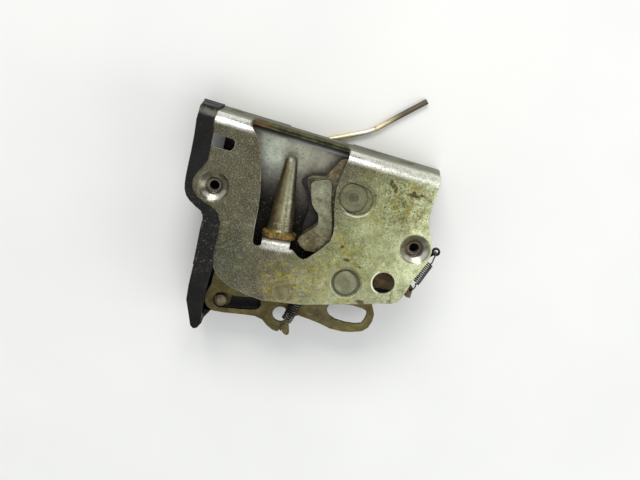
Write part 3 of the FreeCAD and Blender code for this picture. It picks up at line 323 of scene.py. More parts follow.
# Rows of x, y, radius (mm), x stretch, y stretch
RUST_MARKS = [
    (30.2, 27.2, 1.2, 0.7, 1.3), (31.6, 25.9, 1.1, 0.7, 1.3), (33.1, 24.4, 1.2, 0.8, 1.2),
    (42.4, 24.2, 1.5, 2.0, 0.5), (42.0, 25.2, 1.0, 0.8, 1.2), (46.0, 25.2, 0.9, 1.8, 0.5),
    (39.4, 33.6, 1.3, 1.8, 0.5), (46.3, 31.5, 1.1, 1.2, 0.6), (20.6, -15.4, 1.3, 1.5, 0.7),
    (27.6, -17.0, 0.8, 1.4, 0.5), (16.6, -9.6, 0.8, 1, 1), (33.2, -34.0, 1.6, 1.4, 0.7)]
STRIP_CENTRE_X = -0.0175


def zinc_plate():
    """Outer sheet: dull brown toward -X, pale green toward +X."""
    net = Net("zinc_plate_mat")
    x, y, z = net.axes()
    wander = (net.noise(scale=35, detail=4, seed=2) - 0.5) * 0.026
    side = (x - y * 0.35 + wander).ramp(over=(0.000, 0.027))
    net.base(net.mottle(scale=60, detail=6, seed=1, over=(0.35, 0.7)),
             (0.070, 0.058, 0.037), (0.112, 0.098, 0.066))
    net.paint(net.mottle(scale=45, detail=5, seed=30, over=(0.5, 0.7)),
              (0.085, 0.085, 0.042), amount=0.5)
    net.paint(y.fall(over=(-0.030, -0.008)) * x.fall(over=(-0.034, -0.020)),
              (0.050, 0.052, 0.035), amount=0.85)
    left = net.colour
    net.base(net.mottle(scale=50, detail=6, seed=4, over=(0.3, 0.72)),
             (0.250, 0.272, 0.110), (0.385, 0.418, 0.202))
    net.paint((x + wander).ramp(over=(0.030, 0.054), to=(0.0, 0.95)), (0.68, 0.74, 0.43))
    net.paint(y.fall(over=(-0.030, -0.018)), (0.40, 0.405, 0.24), amount=0.6)
    # the darker -X tone is partly a painted dark reflection, partly the sheet's own colour
    net.base(side, left, net.colour)

    # mottled bloom over the whole sheet; `to` is its strength at -X and at +X
    net.paint(net.mottle(scale=190, detail=6, rough=0.75, seed=6, over=(0.44, 0.66))
              * side.ramp(over=(0.0, 1.0), to=(0.45, 0.50)), (0.105, 0.105, 0.030))
    net.paint(net.mottle(scale=75, detail=6, rough=0.7, seed=7, over=(0.50, 0.66))
              * side.ramp(over=(0.0, 1.0), to=(0.15, 0.50)), (0.150, 0.150, 0.042))
    net.paint(net.mottle(scale=420, detail=4, rough=0.6, seed=8, over=(0.50, 0.68))
              * side.ramp(over=(0.0, 1.0), to=(0.14, 0.42)), (0.47, 0.50, 0.33))
    grain = net.noise(scale=1500, detail=3, rough=0.8, seed=10)
    net.paint(grain.ramp(over=(0.49, 0.68), to=(0.0, 0.55)), (0.050, 0.050, 0.018))
    net.paint(grain.ramp(over=(0.50, 0.33), to=(0.0, 0.34)), (0.56, 0.57, 0.42))

    # dark speckle, thickest in the +X +Y corner
    corner = net.spot((38, 27), radius=19, soft=0.6, wobble=0.5, seed=3)
    density = 0.30 + corner * 0.62
    density = density + net.mottle(scale=70, detail=4, seed=12, over=(0.45, 0.7)) * 0.35
    pinpoints = net.mottle(scale=900, detail=2, rough=0.75, seed=14, over=(0.56, 0.64))
    net.paint(pinpoints * density, (0.040, 0.036, 0.014))
    net.paint(net.mottle(scale=420, detail=2, rough=0.6, seed=18, over=(0.66, 0.72))
              * (0.15 + corner * 0.7), (0.035, 0.026, 0.012))
    net.paint(corner * net.mottle(scale=150, detail=5, rough=0.6, seed=19, over=(0.45, 0.65)),
              (0.13, 0.115, 0.045), amount=0.55)
    net.paint(net.spots(DIRT, soft=0.8)
              * net.mottle(scale=420, detail=6, rough=0.8, seed=11, over=(0.47, 0.58)),
              (0.075, 0.070, 0.018))
    stain = net.mix(net.mottle(scale=520, detail=4, rough=0.7, seed=29, over=(0.42, 0.60)),
                    (0.33, 0.28, 0.035), (0.110, 0.095, 0.014))
    net.paint(net.spots(YELLOW_STAINS, soft=0.7)
              * net.mottle(scale=300, detail=6, rough=0.75, seed=13, over=(0.46, 0.58)),
              stain, amount=0.9)
    rust = reduce(or_, (net.spot((px, py), radius, soft=0.35, wobble=0.55,
                                 stretch=(wide, tall), seed=py)
                        for px, py, radius, wide, tall in RUST_MARKS)) * 0.85
    net.paint(rust, (0.062, 0.036, 0.012))

    # painted highlight along the bend on the +Y side; the bend is also made less rough and more
    # metallic
    bend_highlight = y.ramp(over=(0.0300, 0.0322)) * z.ramp(over=(-0.0062, -0.0042))
    bend_highlight = bend_highlight * net.mottle(scale=210, detail=4, seed=22, over=(0.25, 0.45), to=(0.55, 1.0))
    bend_highlight = bend_highlight * (1.0 - corner * 0.25)
    net.paint(bend_highlight, net.mix(grain.ramp(over=(0.42, 0.64)),
                            (0.95, 0.95, 0.90), (0.50, 0.50, 0.42)), amount=0.9)
    net.paint(z.fall(over=(-0.010, -0.0055)),
              net.mix(net.mottle(scale=120, detail=5, seed=24, over=(0.35, 0.65)),
                      (0.26, 0.26, 0.20), (0.36, 0.36, 0.30)), amount=0.8)
    # painted highlight on the rolled lip, a slightly sloping band
    lip_highlight = (abs(x + 0.0140).fall(over=(0.0060, 0.0095))
              * abs(y - x * 0.12 + 0.0168).fall(over=(0.0008, 0.0034)))
    lip_highlight = lip_highlight * net.mottle(scale=230, detail=4, rough=0.6, seed=23,
                                 over=(0.30, 0.50), to=(0.55, 1.0))
    net.paint(lip_highlight, net.mix(grain.ramp(over=(0.40, 0.60)),
                              (0.85, 0.84, 0.79), (0.40, 0.40, 0.35)), amount=0.8)
    flank = z.fall(over=(-0.0165, -0.0080))
    net.paint(flank * y.ramp(over=(0.0300, 0.0330)), (0.085, 0.085, 0.062), amount=0.50)

    # dirty strip edge over the mouth, with a dark groove and a rusty -X end
    strip = abs(x - STRIP_CENTRE_X).fall(over=(0.0235, 0.0255)) * y.ramp(over=(0.0330, 0.0338))
    strip = strip * z.ramp(over=(-0.030, -0.018), to=(0.10, 1.0))
    net.paint(strip, net.mix(net.mottle(scale=330, detail=4, seed=26, over=(0.4, 0.62)),
                             (0.022, 0.020, 0.009), (0.095, 0.095, 0.038)), amount=0.92)
    net.paint(strip * abs(y - 0.0351).fall(over=(0.0002, 0.0005))
              * z.ramp(over=(-0.0135, -0.0125)), (0.012, 0.010, 0.006), amount=0.75)
    net.paint(net.spot((-37.5, 34.9), radius=4.5, soft=0.5, wobble=0.5)
              * z.ramp(over=(-0.016, -0.012)), (0.16, 0.085, 0.035), amount=0.7)

    # dishes burnished by the screw heads, with painted shade and painted highlights on their walls
    dish = (net.spot(LEFT_SCREW, radius=7.9, soft=0.05, wobble=0.02)
            | net.spot(RIGHT_SCREW, radius=7.9, soft=0.05, wobble=0.02))
    dish = dish * z.fall(over=(-0.0004, -0.0001)) if False else dish * z.ramp(
        over=(-0.0004, -0.0001), to=(1.0, 0.0))
    turning = (z * 1.0 * 2600.0).fract()  # 2600 turning rings per metre of depth
    metal = net.mix(net.mottle(scale=170, detail=4, seed=28, over=(0.42, 0.62)),
                    (0.46, 0.46, 0.38), (0.17, 0.145, 0.065))
    metal = net.mix(turning.ramp(over=(0.3, 0.7)) * 0.35, metal, (0.16, 0.16, 0.12))
    net.paint(dish, metal, amount=0.85)
    # painted shade on the upper-left wall of each dish
    net.paint((net.arc(LEFT_SCREW, radius=6.0, width=2.2, facing=110.0)
               | net.arc(RIGHT_SCREW, radius=5.6, width=2.6, facing=120.0)) * dish,
              (0.060, 0.050, 0.030), amount=0.6)
    # painted highlight on the lower-right wall of each dish
    net.paint((net.arc(LEFT_SCREW, radius=5.4, width=1.6, facing=290.0)
               | net.arc(RIGHT_SCREW, radius=5.2, width=1.8, facing=300.0)) * dish,
              (0.95, 0.92, 0.80), amount=0.7)
    # painted shade deep in each screw hole
    net.paint((net.spot(LEFT_SCREW, radius=4.4, soft=0.12, wobble=0.05)
               | net.spot(RIGHT_SCREW, radius=4.6, soft=0.12, wobble=0.05))
              * z.fall(over=(-0.0026, -0.0018)), (0.030, 0.020, 0.010), amount=0.85)
    net.paint(net.spot((50.4, -0.2), radius=4.6, soft=0.5, wobble=0.6)
              * z.fall(over=(-0.0010, -0.0002)), (0.075, 0.042, 0.016), amount=0.6)

    # dull rivet seats, each with a painted shadow and a painted highlight on its rim
    seat = (net.spot(FORK_SEAT, radius=9.0, soft=0.04, wobble=0.02)
            | net.spot(LOWER_RIVET, radius=7.5, soft=0.04, wobble=0.02))
    net.paint(seat * z.fall(over=(-0.0013, -0.0009)), (0.12, 0.125, 0.058), amount=0.5)
    for at, rim in ((FORK_SEAT, 7.9), (LOWER_RIVET, 6.9)):
        net.paint(net.arc(at, radius=rim + 0.5, width=1.2, facing=60.0),
                  (0.050, 0.050, 0.022), amount=0.55)
        net.paint(net.arc(at, radius=rim + 0.4, width=0.45, facing=262.0),
                  (0.72, 0.74, 0.56), amount=0.7)
    # painted highlight on the rim of the round hole
    net.paint(net.arc((41.4, -21.4), radius=5.9, width=0.5, facing=190.0),
              (0.85, 0.87, 0.68), amount=0.8)
    # heat mark round the welded stud
    net.paint(net.ring(STUD, radius=5.2, width=1.2)
              * net.mottle(scale=300, detail=3, seed=31, over=(0.3, 0.6)),
              (0.14, 0.105, 0.02), amount=0.7)
    # painted shade in crevices
    crevice_shade = net.crevices(reach=0.0030) * 0.5
    net.paint(crevice_shade, (0.024, 0.020, 0.010))
    # worn edges, with a painted highlight along them
    edge_wear_and_highlight = net.edges(radius=0.00045) * net.mottle(scale=240, detail=3, seed=33,
                                                  over=(0.30, 0.55))
    net.paint(edge_wear_and_highlight * strip.ramp(over=(0.0, 1.0), to=(0.75, 0.2)), (0.72, 0.72, 0.58))

    rough = net.roughness(scale=150, detail=5, seed=35, to=(0.36, 0.56))
    rough = rough - bend_highlight * 0.12 - dish * 0.20 + (rust | strip) * 0.25
    metallic = side.ramp(over=(0.0, 1.0), to=(0.78, 0.45))
    metallic = metallic - ((rust | strip) * 0.5 + crevice_shade * 0.3)
    metallic = metallic + (bend_highlight * 0.25 + dish * 0.25)
    height = net.noise(scale=650, detail=5, rough=0.62, seed=37) * 0.45
    height = height + net.noise(scale=110, detail=3, seed=39) * 1.3 + grain * 0.35
    height = height - pinpoints * density * 0.35
    height = height + net.noise(scale=260, detail=2, seed=41, stretch=(1.0, 9.0, 1.0)) * 0.25
    return net.finish(
        rough=rough + (strip | flank) * 0.2, metal=(metallic - strip * 0.4) | 0.0,
        height=height, depth=0.00013, bevel=0.0003,
        specular=0.5 - ((strip | flank) | (rust | crevice_shade)) * 0.42)


def inner_zinc():
    net = Net("inner_zinc_mat")
    x, y, z = net.axes()
    net.base(net.mottle(scale=70, detail=5, seed=51, over=(0.35, 0.7)),
             (0.175, 0.160, 0.135), (0.115, 0.104, 0.085))
    # painted reflection on the upper floor
    net.paint(net.spot((-27, 24), radius=12, soft=0.8, wobble=0.6),
              (0.38, 0.42, 0.34), amount=0.85)
    net.paint(net.spot((-14, 26), radius=10, soft=0.8, wobble=0.6),
              (0.27, 0.27, 0.20), amount=0.8)
    # painted shade over the lower floor
    lower_floor_shade = (y + x * 0.10).fall(over=(-0.006, 0.019))
    net.paint(lower_floor_shade, (0.009, 0.0075, 0.0055), amount=0.96)
    # painted shade where the floor runs under the face plate
    side = x.ramp(over=(0.010, 0.015)) | x.fall(over=(-0.048, -0.042))
    net.paint(side, (0.006, 0.005, 0.004), amount=0.93)
    net.paint(net.spot((-2, 12), radius=9, soft=0.7, wobble=0.6),
              (0.060, 0.045, 0.032), amount=0.55)
    net.paint(net.mottle(scale=1000, detail=2, rough=0.7, seed=55, over=(0.56, 0.66)),
              (0.035, 0.030, 0.020), amount=0.5)
    net.paint(net.mottle(scale=1300, detail=2, rough=0.7, seed=56, over=(0.60, 0.70)),
              (0.40, 0.40, 0.36), amount=0.25)
    # painted highlight on the floor's top bend
    bend_highlight = y.ramp(over=(0.0308, 0.0318)) * z.ramp(over=(-0.0185, -0.0172))
    net.paint(bend_highlight * x.ramp(over=(-0.030, -0.012), to=(0.15, 0.9)), (0.85, 0.85, 0.82))
    # painted shade in crevices
    net.paint(net.crevices(reach=0.004, over=(0.25, 0.9)), (0.012, 0.010, 0.008), amount=0.5)
    # painted highlight on edges
    net.paint(net.edges(radius=0.0004), (0.40, 0.40, 0.36), amount=0.4)
    rough = net.roughness(scale=180, detail=5, seed=57, to=(0.34, 0.52))
    return net.finish(
        rough=rough + lower_floor_shade * 0.2, metal=0.75 - lower_floor_shade * 0.45,
        height=(net.noise(scale=800, detail=4, seed=59) * 0.4
                + net.noise(scale=160, detail=3, seed=60) * 0.7),
        depth=0.00007, bevel=0.0003, specular=0.5 - (lower_floor_shade | side) * 0.46)


def black_plastic():
    net = Net("black_plastic_mat")
    y = net.axes()[1]
    net.base(net.mottle(scale=120, detail=5, seed=61, over=(0.35, 0.7)),
             (0.0035, 0.0032, 0.003), (0.007, 0.006, 0.005))
    # scratches in two directions, mostly on a band across the -Y half
    zone = y.ramp(over=(-0.046, -0.034)) * y.fall(over=(-0.006, 0.002))
    zone = zone * 0.9 + 0.12
    scratches = (net.mottle(scale=240, detail=2, rough=0.5, distort=2.5, seed=63,
                            stretch=(1.0, 5.0, 1.0), over=(0.655, 0.675))
                 | net.mottle(scale=300, detail=2, rough=0.5, distort=2.0, seed=65,
                              stretch=(4.0, 1.2, 1.0), over=(0.665, 0.685))) * zone
    net.paint(scratches, (0.20, 0.19, 0.17), amount=0.8)
    net.paint(net.mottle(scale=75, detail=6, seed=67, over=(0.52, 0.78)),
              (0.050, 0.042, 0.030), amount=0.16)
    # painted highlight on the top bend of the shield
    net.paint(net.spot((-63, 34.5), radius=4.0, soft=0.6, wobble=0.7, stretch=(1.8, 0.35)),
              (0.20, 0.19, 0.16), amount=0.65)
    # worn edges, with a painted highlight along them
    net.paint(net.edges(radius=0.0006)
              * net.mottle(scale=260, detail=3, seed=69, over=(0.4, 0.6)),
              (0.08, 0.075, 0.07), amount=0.30)
    height = net.noise(scale=1400, detail=3, seed=73) * 0.5 + scratches * -0.8
    return net.finish(
        rough=net.roughness(scale=160, detail=5, seed=71, to=(0.42, 0.62)), metal=0.0,
        height=height + net.noise(scale=90, detail=3, seed=75) * 1.2,
        depth=0.00010, bevel=0.0005,
        specular=y.ramp(over=(0.030, 0.036), to=(0.20, 0.08)))


def cone_steel():
    """Turned steel, shaded in coordinates across and along the cone's tilted axis."""
    net = Net("cone_steel_mat")
    x, y, _ = net.axes()
    tilt = math.radians(6.6)
    cos_tilt, sin_tilt = math.cos(tilt), math.sin(tilt)
    from_x = x + 0.0149
    from_y = y + 0.0102
    across = from_x * cos_tilt + from_y * sin_tilt
    along = from_y * cos_tilt - from_x * sin_tilt
    net.base(net.mottle(scale=260, detail=5, seed=81, stretch=(1, 0.25, 1), over=(0.35, 0.7)),
             (0.27, 0.255, 0.165), (0.185, 0.17, 0.095))
    brown = across.fall(over=(-0.0040, 0.0006)) * net.mottle(
        scale=150, detail=5, seed=83, stretch=(1, 0.4, 1), over=(0.25, 0.5))
    net.paint(brown, net.mix(net.mottle(scale=300, detail=4, seed=82, stretch=(1, 0.4, 1),
                                        over=(0.4, 0.6)),
                             (0.27, 0.19, 0.060), (0.36, 0.29, 0.12)), amount=0.88)
    net.paint(along.fall(over=(0.0, 0.010)) * across.ramp(over=(-0.001, 0.004), to=(1.0, 0.35)),
              (0.13, 0.10, 0.035), amount=0.6)
    # 700 turned rings per metre, near the collar only
    rings = abs((along * 700.0).fract() - 0.5).ramp(over=(0.30, 0.42))
    rings = rings * along.fall(over=(0.001, 0.0045)) * along.ramp(over=(-0.001, 0.0))
    net.paint(rings, (0.050, 0.038, 0.016), amount=0.6)
    net.paint(net.mottle(scale=1200, detail=2, rough=0.7, seed=84, over=(0.56, 0.66)),
              (0.045, 0.038, 0.018), amount=0.45)
    net.paint(net.mottle(scale=420, detail=5, rough=0.75, seed=86, over=(0.50, 0.64)),
              (0.46, 0.46, 0.34), amount=0.55)
    net.paint(net.mottle(scale=380, detail=5, rough=0.75, seed=88, over=(0.54, 0.66)),
              (0.080, 0.060, 0.022), amount=0.55)
    net.paint(along.ramp(over=(0.028, 0.034)), (0.34, 0.33, 0.26), amount=0.35)
    collar = along.fall(over=(-0.0024, -0.0019))
    net.paint(collar, net.mix(net.mottle(scale=420, detail=5, rough=0.7, seed=85,
                                         over=(0.42, 0.58)),
                              (0.30, 0.175, 0.022), (0.070, 0.045, 0.014)), amount=0.92)
    # painted shade in crevices
    net.paint(net.crevices(reach=0.003, over=(0.2, 0.8)), GRIME_AND_SHADE, amount=0.45)
    rough = net.roughness(scale=300, detail=4, seed=87, to=(0.30, 0.46))
    return net.finish(
        rough=rough + (collar * 0.25 + brown * 0.12), metal=0.9 - collar * 0.55,
        height=(net.noise(scale=500, detail=4, seed=89, stretch=(1, 0.15, 1)) * 0.8
                + collar * net.noise(scale=600, detail=5, seed=90) * 1.2),
        depth=0.00007, bevel=0.0002)


def fork_steel():
    net = Net("fork_steel_mat")
    _, y, z = net.axes()
    net.base(net.mottle(scale=110, detail=6, seed=91, over=(0.36, 0.66)),
             (0.215, 0.22, 0.145), (0.135, 0.128, 0.070))
    net.paint(y.ramp(over=(0.0185, 0.0200))
              * net.mottle(scale=150, detail=5, seed=93, over=(0.20, 0.42)),
              net.mix(net.mottle(scale=200, detail=5, seed=94, over=(0.4, 0.62)),
                      (0.115, 0.070, 0.024), (0.19, 0.155, 0.085)), amount=0.92)
    # painted shade on the fork's lower layer, under the face plate
    net.paint(z.fall(over=(-0.0079, -0.0072)) * y.ramp(over=(0.016, 0.019), to=(0.85, 0.15)),
              (0.045, 0.030, 0.014))
    net.paint(y.fall(over=(-0.008, -0.001))
              * net.mottle(scale=170, detail=5, seed=95, over=(0.25, 0.52)),
              (0.090, 0.068, 0.024), amount=0.85)
    net.paint(net.mottle(scale=300, detail=6, rough=0.75, seed=92, over=(0.52, 0.63)),
              (0.065, 0.045, 0.018), amount=0.6)
    net.paint(net.mottle(scale=520, detail=4, rough=0.75, seed=90, over=(0.54, 0.66)),
              (0.38, 0.37, 0.27), amount=0.45)
    net.paint(net.mottle(scale=1100, detail=2, rough=0.7, seed=96, over=(0.56, 0.66)),
              (0.035, 0.028, 0.012), amount=0.5)
    # painted shade in crevices
    net.paint(net.crevices(reach=0.0035), (0.014, 0.011, 0.007), amount=0.6)
    # worn edges, with a painted highlight along them
    net.paint(net.edges(radius=0.0005)
              * net.mottle(scale=260, detail=3, seed=97, over=(0.35, 0.58)),
              (0.50, 0.50, 0.40), amount=0.6)
    return net.finish(
        rough=net.roughness(scale=200, detail=5, seed=98, to=(0.34, 0.58)), metal=0.7,
        height=(net.noise(scale=600, detail=5, seed=99) * 0.6
                + net.noise(scale=150, detail=3, seed=100) * 1.0),
        depth=0.00011, bevel=0.0005)


def yellow_zinc():
    net = Net("yellow_zinc_mat")
    net.base(net.mottle(scale=55, detail=6, seed=101, over=(0.35, 0.68)),
             (0.085, 0.066, 0.016), (0.122, 0.100, 0.036))
    net.paint(net.mottle(scale=40, detail=4, seed=103, over=(0.45, 0.7)),
              (0.092, 0.082, 0.040), amount=0.7)
    net.paint(net.spot((37, -55), radius=9, soft=0.6, wobble=0.6),
              (0.150, 0.125, 0.034), amount=0.6)
    net.paint(net.mottle(scale=420, detail=6, rough=0.78, seed=104, over=(0.50, 0.62)),
              (0.045, 0.034, 0.010), amount=0.5)
    net.paint(net.spot((42, -43), radius=5, soft=0.6, wobble=0.6),
              (0.105, 0.070, 0.024), amount=0.6)
    net.paint(net.mottle(scale=500, detail=4, seed=105, over=(0.55, 0.72)),
              (0.26, 0.235, 0.14), amount=0.3)
    net.paint(net.mottle(scale=1200, detail=2, rough=0.7, seed=106, over=(0.57, 0.67)),
              (0.030, 0.022, 0.008), amount=0.45)
    # painted shade under the face plate and in crevices
    net.paint(net.crevices(reach=0.012, over=(0.35, 0.95)), (0.030, 0.022, 0.008), amount=0.5)
    # worn edges, with a painted highlight along them
    net.paint(net.edges(radius=0.0004)
              * net.mottle(scale=260, detail=3, seed=107, over=(0.3, 0.55)),
              (0.34, 0.32, 0.20), amount=0.5)
    return net.finish(
        rough=net.roughness(scale=180, detail=5, seed=108, to=(0.38, 0.60)), metal=0.7,
        height=(net.noise(scale=600, detail=5, seed=109) * 0.5
                + net.noise(scale=120, detail=3, seed=110) * 0.8),
        depth=0.00008, bevel=0.0003)


def rod_zinc():
    net = Net("rod_zinc_mat")
    x = net.axes()[0]
    net.base(net.mottle(scale=120, detail=5, seed=111, over=(0.35, 0.68)),
             (0.84, 0.72, 0.44), (0.70, 0.61, 0.40))
    net.paint(x.ramp(over=(0.006, 0.012)) * x.fall(over=(0.016, 0.020)),
              (0.80, 0.78, 0.70), amount=0.8)
    net.paint(x.ramp(over=(0.018, 0.030)), (0.080, 0.063, 0.043), amount=0.95)
    net.paint(net.mottle(scale=300, detail=3, seed=113, over=(0.6, 0.7)),
              (0.10, 0.06, 0.03), amount=0.5)
    return net.finish(
        rough=net.roughness(scale=200, detail=4, seed=115, to=(0.30, 0.48)), metal=0.85,
        height=net.noise(scale=700, detail=4, seed=117), depth=0.00005)


def spring_steel():
    net = Net("spring_steel_mat")
    net.base(net.mottle(scale=400, detail=4, seed=121, over=(0.4, 0.66)),
             (0.120, 0.110, 0.090), (0.045, 0.040, 0.032))
    net.paint(net.mottle(scale=250, detail=3, seed=123, over=(0.56, 0.70)),
              (0.10, 0.065, 0.03), amount=0.5)
    # painted shade between the coils
    net.paint(net.crevices(reach=0.001, over=(0.2, 0.8)), (0.01, 0.01, 0.01), amount=0.6)
    return net.finish(
        rough=net.roughness(scale=350, detail=3, seed=125, to=(0.28, 0.42)), metal=0.9,
        height=net.noise(scale=1500, detail=3, seed=127), depth=0.00003)


def bumper_rubber():
    net = Net("bumper_rubber_mat")
    net.base(net.mottle(scale=150, detail=5, seed=131, over=(0.35, 0.7)),
             (0.012, 0.011, 0.011), (0.030, 0.027, 0.023))
    net.paint(net.mottle(scale=260, detail=5, seed=133, over=(0.55, 0.72)),
              (0.06, 0.05, 0.035), amount=0.4)
    return net.finish(
        rough=net.roughness(scale=200, detail=4, seed=135, to=(0.6, 0.85)), metal=0.0,
        height=net.noise(scale=900, detail=5, seed=137), depth=0.0001, bevel=0.0004)


def rivet_zinc():
    """One material for all rivets; each rivet's tone is picked out by its place."""
    net = Net("rivet_zinc_mat")
    net.base(net.mottle(scale=140, detail=6, seed=151, over=(0.35, 0.68)),
             (0.150, 0.150, 0.078), (0.110, 0.106, 0.055))
    # place, radius (mm), amount, noise settings, two tones
    tones = (
        (LOWER_RIVET, 8, 0.8, dict(scale=160, detail=5, seed=152, over=(0.35, 0.65)),
         (0.225, 0.235, 0.140), (0.165, 0.165, 0.090)),
        ((-33.7, -58.7), 4.5, 0.8, dict(scale=260, detail=4, seed=153, over=(0.4, 0.62)),
         (0.20, 0.155, 0.10), (0.11, 0.075, 0.040)),
        (STUD, 5.5, 0.85, dict(scale=170, detail=5, seed=154, over=(0.4, 0.6)),
         (0.19, 0.19, 0.105), (0.13, 0.10, 0.028)))
    for at, radius, amount, grain, first, second in tones:
        net.paint(net.spot(at, radius, soft=0.1, wobble=0.1),
                  net.mix(net.mottle(**grain), first, second), amount)
    net.paint(net.spot(FORK_AXIS, radius=1.9, soft=0.45, wobble=0.3),
              (0.055, 0.040, 0.026), amount=0.7)
    net.paint(net.ring(FORK_AXIS, radius=3.9, width=0.5)
              | (net.ring(FORK_AXIS, radius=6.0, width=0.35) * 0.6),
              (0.06, 0.055, 0.028), amount=0.35)
    net.paint(net.mottle(scale=1300, detail=3, rough=0.8, seed=155, over=(0.54, 0.68)),
              (0.045, 0.040, 0.018), amount=0.45)
    net.paint(net.mottle(scale=1300, detail=3, rough=0.8, seed=156, over=(0.56, 0.70)),
              (0.36, 0.36, 0.27), amount=0.35)
    # painted shade in crevices
    net.paint(net.crevices(reach=0.0020), (0.018, 0.015, 0.008), amount=0.55)
    # worn edges, with a painted highlight along them
    net.paint(net.edges(radius=0.0004)
              * net.mottle(scale=300, detail=3, seed=157, over=(0.40, 0.6)),
              (0.42, 0.42, 0.32), amount=0.6)
    return net.finish(
        rough=net.roughness(scale=220, detail=5, seed=158, to=(0.38, 0.58)), metal=0.55,
        height=(net.noise(scale=700, detail=5, seed=159) * 0.6
                + net.noise(scale=160, detail=3, seed=160) * 0.8),
        depth=0.00008, bevel=0.0004)


def clip_plastic():
    net = Net("clip_plastic_mat")
    net.base(net.mottle(scale=150, detail=5, seed=141, over=(0.35, 0.7)),
             (0.62, 0.58, 0.46), (0.50, 0.45, 0.33))
    net.paint(net.mottle(scale=500, detail=4, seed=143, over=(0.55, 0.7)),
              (0.16, 0.13, 0.08), amount=0.5)
    return net.finish(
        rough=net.roughness(scale=200, detail=4, seed=145, to=(0.42, 0.6)), metal=0.0,
        height=net.noise(scale=900, detail=3, seed=147), depth=0.00006, bevel=0.0004)


MATERIALS = {
    "zinc_plate": zinc_plate(),
    "inner_zinc": inner_zinc(),
    "nut_steel": worn_metal("nut_steel_mat", base=(0.20, 0.19, 0.155),
                            alt=(0.12, 0.105, 0.070), seed=1.5, rust=0.35),
    "cone_steel": cone_steel(),
    "rivet_zinc": rivet_zinc(),
    "bush_steel": worn_metal("bush_steel_mat", base=(0.20, 0.19, 0.17),
                             alt=(0.12, 0.11, 0.09), seed=3.5, rust=0.1),
    "fork_steel": fork_steel(),
    "bumper_rubber": bumper_rubber(),
    "spring_steel": spring_steel(),
    "pawl_steel": worn_metal("pawl_steel_mat", base=(0.150, 0.105, 0.048),
                             alt=(0.070, 0.040, 0.014), rough=(0.45, 0.75), metal=0.5,
                             seed=4.5, rust=0.6, speck=0.5, patch=160, depth=0.00014),
    "yellow_zinc": yellow_zinc(),
    "rod_zinc": rod_zinc(),
    "clip_plastic": clip_plastic(),
    "black_plastic": black_plastic(),
}
slot_of = {part["node"]: part["material_slot"] for part in frame["record"]["subparts"]}
for node_name, piece in frame["nodes"].items():
    piece.data.materials.clear()
    piece.data.materials.append(MATERIALS[slot_of[node_name]])

# ------------------------------------------------------------------ mesh helpers


def finish_mesh(name, bm, material):
    bmesh.ops.recalc_face_normals(bm, faces=bm.faces)
    bmesh.ops.translate(bm, verts=bm.verts, vec=(0.0, 0.0, LIFT))
    mesh = bpy.data.meshes.new(name)
    bm.to_mesh(mesh)
    bm.free()
    made = bpy.data.objects.new(name, mesh)
    bpy.context.scene.collection.objects.link(made)
    mesh.materials.append(material)
    for polygon in mesh.polygons:
        polygon.use_smooth = True
    return made


def ride_housing(piece):
    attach(piece, "housing")


def wire(name, path, radius, sides=10):
    """Round spring wire along points in mm, with a low cone on each end."""
    points = [Vector(p) * MM for p in path]
    bm = bmesh.new()
    rings = []
    up = None
    for i, point in enumerate(points):
        ahead = (points[min(i + 1, len(points) - 1)] - points[max(i - 1, 0)]).normalized()
        if up is None:
            up = ahead.orthogonal().normalized()
        up = (up - ahead * up.dot(ahead)).normalized()
        side = ahead.cross(up)
        angles = [2 * math.pi * j / sides for j in range(sides)]
        rings.append([bm.verts.new(point + (up * math.cos(a) + side * math.sin(a))
                                   * (radius * MM)) for a in angles])
    for near, far in zip(rings, rings[1:]):
        for j in range(sides):
            after = (j + 1) % sides
            bm.faces.new((near[j], near[after], far[after], far[j]))
    outward = ((points[0] - points[1]).normalized(), (points[-1] - points[-2]).normalized())
    for ring, direction in zip((rings[0], rings[-1]), outward):
        centre = sum((v.co for v in ring), Vector()) / sides
        tip = bm.verts.new(centre + direction * radius * MM * 0.45)
        for j in range(sides):
            pair = (ring[j], ring[(j + 1) % sides])
            if ring is rings[0]:
                pair = pair[::-1]
            bm.faces.new(pair + (tip,))
    return finish_mesh(name, bm, MATERIALS["spring_steel"])


SMOOTH_STEPS = 8  # points per stretch of a smoothed lead


def smooth_path(control):
    """Catmull-Rom curve through the points."""
    points = [Vector(p) for p in control]
    points = [points[0] * 2 - points[1]] + points + [points[-1] * 2 - points[-2]]
    path = []
    for p0, p1, p2, p3 in zip(points, points[1:], points[2:], points[3:]):
        for step in range(SMOOTH_STEPS):
            u = step / SMOOTH_STEPS
            path.append(0.5 * ((2 * p1) + (p2 - p0) * u
                               + (2 * p0 - 5 * p1 + 4 * p2 - p3) * u * u
                               + (3 * p1 - p0 - 3 * p2 + p3) * u ** 3))
    path.append(points[-2])
    return path


def coil_path(start, end, radius, turns, lead_in, lead_out, steps_per_turn=20):
    """Coil from start to end, drawn in slightly at both ends, with smooth leads."""
    start, end = Vector(start), Vector(end)
    axis = end - start
    length = axis.length
    axis.normalize()
    up = Vector((0, 0, 1))
    up = (up - axis * up.dot(axis)).normalized()
    side = axis.cross(up)
    coil = []
    steps = int(turns * steps_per_turn)
    for i in range(steps + 1):
        share = i / steps
        angle = 2 * math.pi * turns * share
        reach = radius * (1.0 - 0.10 * (1 - min(1.0, min(share, 1 - share) * turns)))
        coil.append(start + axis * (length * share) + up * (reach * math.cos(angle))
                    + side * (reach * math.sin(angle)))
    # the leads overlap the coil by one stretch, which is cut off
    head = smooth_path(lead_in + [coil[0], coil[2]])[:-SMOOTH_STEPS - 1]
    tail = smooth_path([coil[-3], coil[-1]] + lead_out)[SMOOTH_STEPS + 1:]
    return head + coil + tail


def attach_spring(spring, replaced):
    """Bakes the transform of a spring wire that runs between the housing and a moving piece, and
    hides the CAD spring it replaces.
    """

    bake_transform(spring)
    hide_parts(replaced)


# ------------------------------------------------------------------ springs

